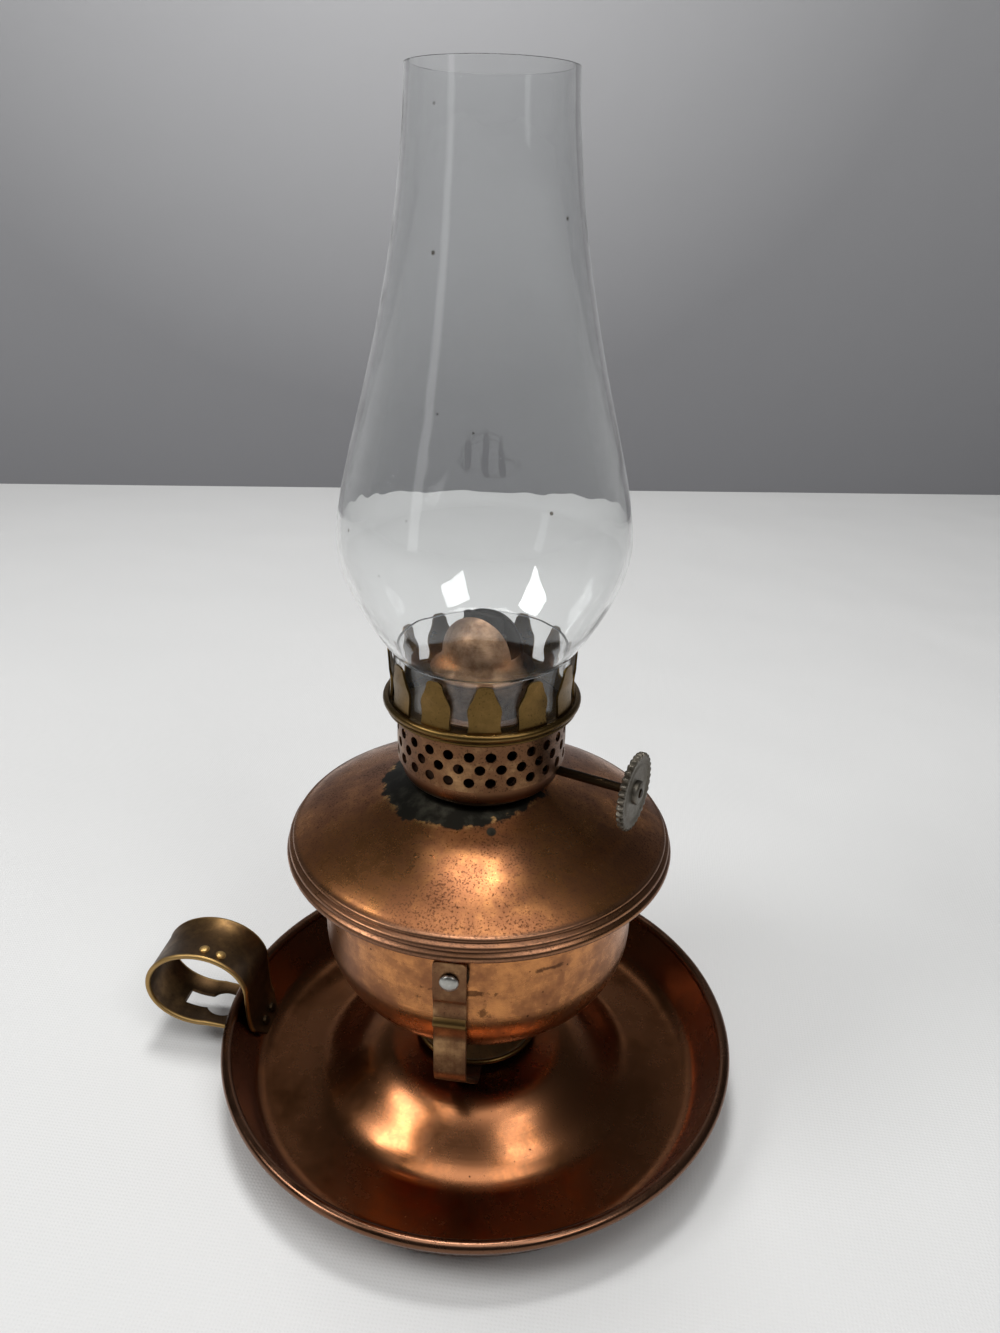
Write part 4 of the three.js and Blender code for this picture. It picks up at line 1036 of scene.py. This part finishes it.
class LAMP_OT_pivots(Operator):
    """Build the two pivot rivets and their washers"""

    bl_idname = "oil_lamp.pivots"
    bl_label = "Pivots"

    shank = 1.2 * MM
    head = 1.9 * MM
    rise = 0.9 * MM
    washer_edge = 0.3 * MM
    bore_room = 0.3 * MM

    def execute(self, context):
        for side, name in ((-1, "front"), (1, "rear")):
            low, high = (Vector(c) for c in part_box(f"pivot_rivet_{name}"))
            near, far = sorted((abs(low.y), abs(high.y)))
            turn = Matrix.Rotation(-side * math.pi / 2, 4, "X")
            place = Matrix.Translation((AXIS_X, 0, PIVOT_Z)) @ turn
            head, swell = self.head, self.rise * 0.75
            inner, outer = near + self.rise, far - self.rise
            dome = bezier([(head, outer), (head, outer + swell), (head * 0.6, far), (0, far)], 10)
            under = bezier([
                (0, near), (head * 0.6, near), (head, inner - swell), (head, inner)], 10)
            outline = [*under, (self.shank, inner), (self.shank, outer), *dome]
            fit(revolve(f"rivet_{name}", outline, 48, place), "tinned steel",
                "stand", "rivet_steel", f"pivot_rivet_{name}")
            low, high = (Vector(c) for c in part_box(f"pivot_washer_{name}"))
            near, far = sorted((abs(low.y), abs(high.y)))
            radius, edge, bore = (high.z - low.z) / 2, self.washer_edge, self.shank + self.bore_room
            ring = [(bore, near), (radius - edge, near), (radius, near + edge),
                    (radius, far - edge), (radius - edge, far), (bore, far)]
            fit(revolve(f"washer_{name}", ring, 64, place), "dark brass",
                "stand", "dark_brass", f"pivot_washer_{name}")
        return {"FINISHED"}


class LAMP_OT_font(Operator):
    """Build the copper bowl, the bell-shaped shoulder and the collar"""

    bl_idname = "oil_lamp.font"
    bl_label = "Font"

    gap = 0.3 * MM
    collar_wall = 1.1 * MM
    flange_edge = 0.4 * MM
    brim_bend = 1.2 * MM
    rim_beads = (
        # inset, height and radius in mm, first and last angle, steps
        (0.95, 0.95, 0.95, -90, 62, 12), (1.3, 2.75, 0.8, -50, 66, 10),
        (2.0, 4.15, 0.62, -40, 80, 8))
    bell = (0.27, 0.42, 0.24, 0.3)  # the bell's handles, as shares of its run and rise

    def execute(self, context):
        font = context.scene.lamp_font
        self.bowl(font)
        self.shoulder(font)
        low, high = bottom("font_collar"), top("font_collar")
        outer, edge = font.dome_hole - self.gap, self.flange_edge
        bore, seat = outer - self.collar_wall, high - 2 * edge
        collar = [(bore, low), (outer, low), (outer, seat), (font.collar_flange - self.gap, seat),
                  *arc((font.collar_flange - edge, seat + edge), edge, -90, 90, 8), (bore, high)]
        fit(revolve("collar_ring", collar, 96), "dark brass", "font", "dark_brass", "font_collar")
        return {"FINISHED"}

    def bowl(self, font):
        low = bottom("font_bowl")
        flange = top("font_bowl") - font.sheet
        rise, reach = font.round_top - low, font.bowl_radius - font.bowl_foot
        quarter = [
            (font.bowl_foot + reach * math.sin(a), low + rise * (1 - math.cos(a)))
            for a in (math.pi / 2 * i / 24 for i in range(25))]
        edge = half_depth("font_bowl")
        brim = rounded([quarter[-1], (font.bowl_radius, flange), (edge, flange)], self.brim_bend, 6)
        path = [(0, low), *quarter, *brim[1:]]
        inside = beside(path, font.sheet)
        inside[0] = (0, low + font.sheet)
        fit(revolve("bowl_skin", [*path, *reversed(inside)], 160), "polished copper",
            "font", "polished_copper", "font_bowl")

    def shoulder(self, font):
        low, high = bottom("font_shoulder"), top("font_shoulder")
        radius, rim_top = half_depth("font_shoulder"), low + font.rim_height
        beads = [
            point for inset, height, bead, *turns in self.rim_beads
            for point in arc((radius - inset * MM, low + height * MM), bead * MM, *turns)]
        run, rise = font.dome_start - font.dome_end, high - rim_top
        inward, up, outward, down = self.bell
        dome = bezier([
            (font.dome_start, rim_top), (font.dome_start - inward * run, rim_top + up * rise),
            (font.dome_end + outward * run, high - down * rise), (font.dome_end, high)], 40)
        skin = [*dome, (font.dome_hole, high)]
        inside = beside(skin, font.sheet)
        seam = radius - font.seam_wall
        seat = low + 2 * (font.sheet + self.gap) + font.sheet
        outline = [
            (seam - font.seam_lip, low), *beads, *skin, *reversed(inside),
            (seam, seat), (seam, low + font.sheet), (seam - font.seam_lip, low + font.sheet)]
        fit(revolve("shoulder_skin", outline, 180), "stained copper",
            "font", "polished_copper", "font_shoulder")


class LAMP_OT_burner_body(Operator):
    """Build the burner's cup and its pierced band"""

    bl_idname = "oil_lamp.burner_body"
    bl_label = "Burner body"

    collar_gap = 0.3 * MM
    plate_drop = 2 * MM
    slot_half = 5.5 * MM
    slot_radius = 1.8 * MM
    bore_radius = 1.25 * MM
    overcut = 2 * MM
    row_heights = (2.1 * MM, 5.0 * MM, 7.8 * MM)
    hole_steps = 16

    def execute(self, context):
        burner = context.scene.lamp_burner
        self.cup(burner)
        self.band(burner)
        paint("dark brass", "ratchet_box", "burner_deck", "wick_tube",
              "feed_wheel_inner", "feed_wheel_outer")
        return {"FINISHED"}

    def cup(self, burner):
        sheet = burner.sheet
        foot = top("font_collar") + self.collar_gap
        neck = burner.neck_radius
        neck_low, high = bottom("burner_cup"), top("burner_cup")
        belly = bezier([
            (burner.cup_foot, foot), (burner.cup_radius - sheet, foot),
            (burner.cup_radius, foot + burner.cup_height * 0.3),
            (burner.cup_radius, foot + burner.cup_height)], 16)
        skin = [*belly, (burner.cup_radius, high)]
        plate = foot - self.plate_drop
        inner = neck - sheet
        outline = [
            (0, plate - sheet), (inner, plate - sheet), (inner, neck_low), (neck, neck_low),
            (neck, foot), *skin, *reversed(beside(skin, sheet)), (inner, foot + sheet),
            (inner, plate), (0, plate)]
        cup = revolve("cup_skin", outline, 120, BURNER)
        slot = oblong(self.slot_half, self.slot_radius, 10)
        cup = cut(cup, slab("tube_slot", slot, plate - self.overcut, plate + self.overcut, BURNER))
        reach = burner.cup_radius + self.overcut
        bore = [(0, 0), (self.bore_radius, 0), (self.bore_radius, reach), (0, reach)]
        cup = cut(cup, revolve("spindle_bore", bore, 24, WINDER))
        fit(cup, "reddened brass", "burner", "dark_brass", "burner_cup")

    def band(self, burner):
        """A sheet pierced by three staggered rows of round holes, rolled into a band."""
        low, high = bottom("burner_band"), top("burner_band")
        count, steps = burner.hole_count, self.hole_steps
        pitch = FULL_TURN / count
        radius = burner.band_radius
        rows = [low + h for h in self.row_heights]
        gap = (rows[1] - rows[0]) / 2
        edges = [rows[0] - gap, rows[0] + gap, (rows[1] + rows[2]) / 2, rows[2] + gap]
        mesh = bmesh.new()

        def at(turn, height):
            return mesh.verts.new(BURNER @ polar(radius, turn, height))

        side = steps // 4
        square = []  # points round a square, as many as round each hole
        for k in range(steps):
            edge, along = divmod(k, side)
            t = 2 * along / side - 1
            square.append(((1, t), (-t, 1), (-1, -t), (t, -1))[edge])
        for row, height in enumerate(rows):
            for i in range(count):
                centre = pitch * (i + (0.5 if row % 2 == 0 else 0) + 0.5)
                hole, border = [], []
                for k, (u, v) in enumerate(square):
                    a = math.radians(-45 + 360 * k / steps)
                    hole.append(at(centre + burner.hole_radius * math.cos(a) / radius,
                                   height + burner.hole_radius * math.sin(a)))
                    z = edges[row] if v <= -1 else edges[row + 1] if v >= 1 else (
                        edges[row] + (edges[row + 1] - edges[row]) * (v + 1) / 2)
                    border.append(at(centre + u * pitch / 2, z))
                for k in range(steps):
                    j = (k + 1) % steps
                    mesh.faces.new((hole[k], border[k], border[j], hole[j]))
        for z0, z1 in ((low, edges[0]), (edges[-1], high)):
            for i in range(count * side):
                a, b = pitch * i / side, pitch * (i + 1) / side
                mesh.faces.new((at(a, z0), at(b, z0), at(b, z1), at(a, z1)))
        bmesh.ops.remove_doubles(mesh, verts=mesh.verts, dist=0.01 * MM)
        bmesh.ops.recalc_face_normals(mesh, faces=mesh.faces)
        bmesh.ops.solidify(mesh, geom=mesh.faces[:], thickness=burner.sheet)
        fit(to_object("band_sheet", mesh, 50), "pierced brass",
            "burner", "aged_brass", "burner_band")


class LAMP_OT_gallery(Operator):
    """Build the gallery with its bead and prongs"""

    bl_idname = "oil_lamp.gallery"
    bl_label = "Gallery"

    floor_bore = 8.6 * MM
    floor_rise = 1.7 * MM
    bead_rise = 2.6 * MM
    sleeve_gap = 0.3 * MM
    prong_belly = 0.25 * MM
    prong_outline = (
        # share of the height, half the width in mm
        (0.0, 3.3), (0.12, 3.05), (0.28, 3.1), (0.45, 3.28), (0.58, 3.0), (0.72, 2.3), (0.84, 1.85),
        (0.93, 1.62), (0.98, 1.2), (1.0, 0.75))

    def execute(self, context):
        burner = context.scene.lamp_burner
        sheet = burner.sheet
        low = bottom("burner_gallery")
        sleeve = burner.band_radius - sheet - self.sleeve_gap
        floor = low + self.floor_rise
        bead_z = floor + self.bead_rise
        bead, inner = burner.gallery_bead, burner.prong_radius
        wall_r = burner.gallery_radius - bead
        seat, foot = floor + sheet, bead_z + bead * 0.8
        outline = [
            (self.floor_bore, floor), (sleeve - sheet, floor), (sleeve - sheet, low), (sleeve, low),
            (sleeve, floor), (burner.band_radius, floor),
            (burner.band_radius + 0.9 * MM, floor + 0.35 * MM),
            *arc((wall_r - 0.15 * MM, bead_z - 1.35 * MM), 0.42 * MM, -100, 40, 8),
            *arc((wall_r, bead_z), bead, -55, 128, 18), (inner + sheet, foot), (inner, foot),
            (inner, bead_z), (inner - 0.3 * MM, seat), (self.floor_bore, seat)]
        prongs = [self.prong(burner, FULL_TURN * i / burner.prong_count, foot)
                  for i in range(burner.prong_count)]
        fit(merge("gallery_brass", [revolve("gallery_ring", outline, 128, BURNER), *prongs]),
            "heated brass", "burner", "aged_brass", "burner_gallery")
        return {"FINISHED"}

    def prong(self, burner, turn, foot):
        """A springy leaf that swells, draws in to a flat round tip and leans out."""
        across, thickness = 8, burner.sheet * 0.85
        sections = []
        for t, half in through([(t, w * MM) for t, w in self.prong_outline], 4):
            lean = burner.prong_flare * max(2 * t - 1, 0) ** 2
            belly = self.prong_belly * math.sin(math.pi * min(t / 0.6, 1))
            outer = burner.prong_radius + burner.sheet + lean - belly
            z = foot + burner.prong_height * t
            section = []
            for r, way in ((outer, 1), (outer - thickness, -1)):
                for k in range(across + 1):
                    a = turn + way * (2 * k / across - 1) * half / r
                    section.append(BURNER @ polar(r, a, z))
            sections.append(section)
        return loft("prong", sections, 50)


class LAMP_OT_spreader(Operator):
    """Build the slotted flame spreader and the burnt wick"""

    bl_idname = "oil_lamp.spreader"
    bl_label = "Flame spreader"

    flange = 12 * MM
    base = 10.8 * MM
    bead = 0.55 * MM
    bead_height = 106.4 * MM
    shoulder = 109.9 * MM
    sheet = 0.45 * MM
    wick_half = 4.5 * MM
    wick_edge = 0.8 * MM
    wick_levels = 60

    def execute(self, context):
        burner = context.scene.lamp_burner
        low, high = bottom("flame_spreader"), top("flame_spreader")
        radius = burner.spreader_radius
        springing = high - radius
        bead_r, bead_z = self.base - self.bead, self.bead_height
        skirt = through([
            (self.base, low + 2 * self.sheet), (self.base - 0.35 * MM, bead_z - 2.4 * MM),
            (bead_r, bead_z - self.bead)], 6)
        bead = arc((bead_r, bead_z), self.bead, -85, 85, 10)
        neck = through([
            (bead_r, bead_z + self.bead), (9.3 * MM, bead_z + 1.5 * MM),
            (radius + 0.15 * MM, self.shoulder - 0.6 * MM), (radius, self.shoulder)], 6)
        dome = arc((0, springing), radius, 0, 90, 24)
        dome[-1] = (0, high)
        inner_dome = arc((0, springing), radius - self.sheet, 90, 0, 24)
        inner_dome[0] = (0, high - self.sheet)
        inside = bead_r - self.sheet
        outline = [
            (self.flange, low), (self.flange, low + self.sheet), *skirt, *bead, *neck, *dome,
            *inner_dome, (radius - self.sheet, self.shoulder), (inside, bead_z), (inside, low)]
        spreader = revolve("spreader_skin", outline, 96, BURNER)
        half, reach = burner.spreader_slot / 2, 2 * radius
        slot = [(-reach, -half), (reach, -half), (reach, half), (-reach, half)]
        cutter = slab("slot_cutter", slot, self.shoulder + self.sheet, high + reach, BURNER)
        fit(cut(spreader, cutter), "sooted and shaded brass", "burner", "aged_brass", "flame_spreader")
        self.wick()
        return {"FINISHED"}

    def wick(self):
        """A flat plait whose burnt end is ragged and slightly crowned."""
        low, high = bottom("wick"), top("wick")
        half, levels = self.wick_half, self.wick_levels
        outline = oblong(half, self.wick_edge, 8)
        sections = []
        for i in range(levels + 1):
            t, rib = i / levels, i % 2
            crown = 0.9 * MM * max(t - 0.9, 0) / 0.1
            wide, thick = 1 - 0.02 * rib, (1 - 0.05 * rib) * (1 - 0.35 * max(t - 0.97, 0) / 0.03)
            level = low + (high - low) * t
            sections.append([
                BURNER @ Vector((x * wide, y * thick, level - crown * (x / half) ** 2))
                for x, y in outline])
        fit(loft("wick_plait", sections), "cotton", "wick", "wick_cotton", "wick")


class LAMP_OT_winder(Operator):
    """Build the spindle and the milled thumb wheel"""

    bl_idname = "oil_lamp.winder"
    bl_label = "Winder"

    spindle_radius = 1 * MM
    start = -4.7 * MM
    reach = 33.1 * MM
    hub_radius = 2.5 * MM
    hub_stand = 0.7 * MM
    rod_chamfer = 0.25 * MM
    tooth_depth = 0.75 * MM
    wheel_edge = 0.22 * MM
    wheel_dish = 0.28 * MM

    def execute(self, context):
        burner = context.scene.lamp_burner
        r, chamfer = self.spindle_radius, self.rod_chamfer
        end = self.reach + burner.wheel_width / 2 + self.hub_stand + 0.3 * MM
        rod = [(0, self.start), (r - chamfer, self.start), (r, self.start + chamfer),
               (r, self.reach - 6 * MM), (r * 0.96, self.reach - 4 * MM), (r, self.reach - 2 * MM),
               (r, end - chamfer), (r - chamfer, end), (0, end)]
        fit(revolve("spindle_rod", rod, 32, WINDER), "dark brass",
            "winder", "aged_brass", "spindle")
        self.wheel(burner)
        return {"FINISHED"}

    def wheel(self, burner):
        radius, half = burner.wheel_radius, burner.wheel_width / 2
        bore, hub = self.spindle_radius + 0.05 * MM, self.hub_radius
        teeth, depth = burner.wheel_teeth, self.tooth_depth
        inner, edge, dish = radius * 0.86, self.wheel_edge, self.wheel_dish

        def milled(r, turn):
            if r < inner:
                return r
            notch = (1 - math.cos(turn * teeth)) / 2
            return r - depth * notch ** 1.4 * (r - inner) / (radius - inner)

        def face(side):
            """From the hub out to the toothed edge."""
            stand = half + self.hub_stand
            points = [
                (bore, stand), (hub - 0.3 * MM, stand), (hub, stand - 0.3 * MM), (hub, half - dish),
                (hub + 0.5 * MM, half - dish), (radius * 0.6, half - dish),
                (radius * 0.66, half - dish * 0.4), (radius * 0.7, half - dish),
                (radius * 0.8, half - dish), (radius * 0.85, half), (radius - edge, half),
                (radius, half - edge)]
            return [(r, self.reach + side * z) for r, z in points]

        outline = [*face(1), *reversed(face(-1))]
        wheel = revolve("wheel_disc", outline, teeth * 8, WINDER, milled, 50)
        fit(wheel, "dull nickel", "winder", "wheel_nickel", "thumb_wheel")


class LAMP_OT_chimney(Operator):
    """Build the blown glass chimney"""

    bl_idname = "oil_lamp.chimney"
    bl_label = "Chimney"

    swelling = (0.09, 0.03, 0.39)  # the lower curve's handles, as shares of its run and rise
    tapering = (0.18, 0.09, 0.48)  # and the upper curve's

    def execute(self, context):
        glass = context.scene.lamp_chimney
        low, high = bottom("chimney"), top("chimney")
        widest, middle_z = glass.bulge_radius, glass.bulge_height
        rise, swell = high - middle_z, middle_z - glass.neck_height
        out, up, down = self.swelling
        foot, foot_z, tip = glass.foot_radius, glass.neck_height, glass.top_radius
        neck = bezier([
            (foot, foot_z), (foot + out * (widest - foot), foot_z + up * swell),
            (widest, middle_z - down * swell), (widest, middle_z)], 32)
        up, out, down = self.tapering
        taper = bezier([
            (widest, middle_z), (widest, middle_z + up * rise),
            (tip + out * (widest - tip), high - down * rise), (tip, high)], 56)
        path = [(foot, low), *neck, *taper[1:]]
        outline = [(r, min(max(z, low), high)) for r, z in wall(path, glass.wall, 6)]
        fit(revolve("chimney_glass", outline, 144, BURNER), "glass",
            "chimney", "clear_glass", "chimney")
        return {"FINISHED"}


class LAMP_OT_stage(Operator):
    """Build the floor, the backdrop, the lamps and the camera"""

    bl_idname = "oil_lamp.stage"
    bl_label = "Stage"

    floor_half = 2.4
    wall_height = 0.42
    sky_strength = 0.07
    # The glow is a painted pool of light on the wall.
    glow_side = -0.06
    glow_reach = 0.36
    glow_share = 0.8
    sensor_height = 36
    clip_start = 0.01
    area_lamps = (
        # name, bearing and height in degrees, distance and size in metres, power in watts
        ("ceiling", 180, 74, 1.5, (1.2, 0.6), 7.0),
        ("bulb", -14, 80, 0.9, (0.2, 0.2), 3.6),
        ("window", -108, 45, 1.0, (0.4, 0.25), 3.2),
        ("low window", -126, 18, 1.0, (0.14, 0.5), 0.2),
        ("room", 140, 50, 1.0, (0.4, 0.17), 1.5))

    def execute(self, context):
        stage = context.scene.lamp_stage
        self.facing = LAMP @ Matrix.Rotation(stage.azimuth, 4, "Z")
        self.cloth_and_wall(stage)
        self.lamps(stage)
        self.camera(stage)
        return {"FINISHED"}

    def cloth_and_wall(self, stage):
        half, back = self.floor_half, stage.wall_distance
        skew = half * math.tan(stage.wall_turn)
        near, far = back - skew, back + skew
        for name, corners, made in (
                ("floor", ((-half, -half, 0), (half, -half, 0), (half, far, 0), (-half, near, 0)),
                 self.cloth_material(stage)),
                ("backdrop", ((-half, near, 0), (half, far, 0), (half, far, self.wall_height),
                              (-half, near, self.wall_height)), self.wall_material(stage))):
            mesh = bpy.data.meshes.new(name)
            mesh.from_pydata([self.facing @ Vector(c) for c in corners], [], [(0, 1, 2, 3)])
            plane = add_object(name, mesh)
            mesh.materials.append(made)

    def cloth_material(self, stage):
        """Plain-woven cotton cloth: matt and pale, with a thread pattern and soft folds."""
        coat = Coat("Cotton cloth, plain woven")
        # Real threads are about 0.3 mm apart. They are drawn 0.8 mm apart, to show.
        across, down = (
            coat.add("ShaderNodeTexWave", {
                "Vector": coat.centred, "Scale": per(0.8) / FULL_TURN * 2}, 1, bands_direction=way)
            for way in ("X", "Y"))
        weave = coat.add("ShaderNodeMath", {0: across, 1: down}, operation="MULTIPLY")
        folds = coat.add(
            "ShaderNodeTexNoise", {"Vector": coat.centred, "Scale": per(110), "Detail": 2})
        fallen = coat.add("ShaderNodeBump", {"Height": folds, "Distance": 5 * MM})
        bump = coat.add(
            "ShaderNodeBump", {"Height": weave, "Distance": 0.045 * MM, "Normal": fallen})
        return coat.finish({
            "Base Color": solid(stage.cloth), "Roughness": 0.9, "Specular IOR Level": 0.2,
            "Normal": bump})

    def wall_material(self, stage):
        """Matt grey wall, with painted shade towards its foot and a painted pool of light above the
        lamp.
        """
        coat = Coat("Wall paint, matt")
        height = coat.add("ShaderNodeSeparateXYZ", {0: coat.centred}, "Z")
        glow = self.facing @ Vector((self.glow_side, stage.wall_distance, self.wall_height))
        last = solid(stage.wall_shade_low)
        # Painted light: darker towards the foot as painted shade, lighter round the glow as a
        # painted pool of light.
        for value, start, full, most, tone in (
                (height, 0, self.wall_height, 1, stage.wall),
                (coat.reach(glow, (1, 1, 1)), self.glow_reach, 0, self.glow_share, stage.wall_lit)):
            share = coat.add("ShaderNodeMapRange", {
                "Value": value, "From Min": start, "From Max": full, "To Max": most})
            last = coat.add(
                "ShaderNodeMix", {0: share, 6: last, 7: solid(tone)}, 2, data_type="RGBA")
        grain = coat.add(
            "ShaderNodeTexNoise", {"Vector": coat.centred, "Scale": per(40), "Detail": 2})
        bump = coat.add("ShaderNodeBump", {"Height": grain, "Distance": 0.5 * MM})
        return coat.finish({"Base Color": last, "Roughness": 0.9, "Normal": bump})

    def lamps(self, stage):
        world = bpy.context.scene.world or bpy.data.worlds.new("world")
        bpy.context.scene.world = world
        world.use_nodes = True
        sky = world.node_tree.nodes["Background"]
        sky.inputs["Color"].default_value = solid(stage.sky)
        sky.inputs["Strength"].default_value = self.sky_strength
        for name, side, rise, away, size, watts in self.area_lamps:
            data = bpy.data.lights.new(name, "AREA")
            data.shape, data.size, data.size_y = "RECTANGLE", *size
            data.energy = watts
            side, rise = math.radians(side), math.radians(rise)
            way = self.facing.to_3x3() @ Vector((
                math.sin(side) * math.cos(rise), math.cos(side) * math.cos(rise), math.sin(rise)))
            add_object(name, data).matrix_world = turned_to(LAMP @ (way * away), way)

    def camera(self, stage):
        data = bpy.data.cameras.new("camera")
        data.sensor_fit, data.sensor_height = "VERTICAL", self.sensor_height
        data.lens, data.clip_start = stage.lens, self.clip_start
        yaw, pitch, roll = stage.yaw, stage.pitch, stage.roll
        ahead = Vector((
            math.sin(yaw) * math.cos(pitch), math.cos(yaw) * math.cos(pitch), -math.sin(pitch)))
        level = Vector((math.cos(yaw), -math.sin(yaw), 0))
        upright = level.cross(ahead)
        right = level * math.cos(roll) + upright * math.sin(roll)
        up = upright * math.cos(roll) - level * math.sin(roll)
        turned = Matrix((right, up, -ahead)).transposed().to_4x4()
        camera = add_object("camera", data)
        camera.matrix_world = self.facing @ Matrix.Translation(
            (-stage.side_step, -stage.distance, stage.height)) @ turned
        bpy.context.scene.camera = camera
        bpy.context.scene.view_settings.view_transform = "Standard"


SETTINGS = {
    "lamp_stand": StandSettings, "lamp_font": FontSettings, "lamp_burner": BurnerSettings,
    "lamp_chimney": ChimneySettings, "lamp_finish": FinishSettings, "lamp_stage": StageSettings,
}
OPERATORS = (
    LAMP_OT_finishes, LAMP_OT_stage, LAMP_OT_saucer, LAMP_OT_finger_ring, LAMP_OT_yoke,
    LAMP_OT_pivots, LAMP_OT_font, LAMP_OT_burner_body, LAMP_OT_gallery, LAMP_OT_spreader,
    LAMP_OT_winder, LAMP_OT_chimney,
)


class LAMP_PT_sidebar(Panel):
    """Lists the lamp's pieces in the 3D view's sidebar"""

    bl_idname = "LAMP_PT_sidebar"
    bl_label = "Oil Lamp"
    bl_space_type = "VIEW_3D"
    bl_region_type = "UI"
    bl_category = "Oil Lamp"

    def draw(self, context):
        for operator in OPERATORS:
            self.layout.operator(operator.bl_idname)
        for name, settings in SETTINGS.items():
            box = self.layout.box()
            box.label(text=settings.__doc__)
            for field in settings.__annotations__:
                box.prop(getattr(context.scene, name), field)


def register():
    for settings in SETTINGS.values():
        bpy.utils.register_class(settings)
    for name, settings in SETTINGS.items():
        setattr(bpy.types.Scene, name, PointerProperty(type=settings))
    for operator in OPERATORS:
        bpy.utils.register_class(operator)
    bpy.utils.register_class(LAMP_PT_sidebar)


def unregister():
    bpy.utils.unregister_class(LAMP_PT_sidebar)
    for operator in reversed(OPERATORS):
        bpy.utils.unregister_class(operator)
    for name, settings in SETTINGS.items():
        delattr(bpy.types.Scene, name)
        bpy.utils.unregister_class(settings)


def main():
    register()
    for operator in OPERATORS:
        group, name = operator.bl_idname.split(".")
        getattr(getattr(bpy.ops, group), name)()


if __name__ == "__main__":
    main()
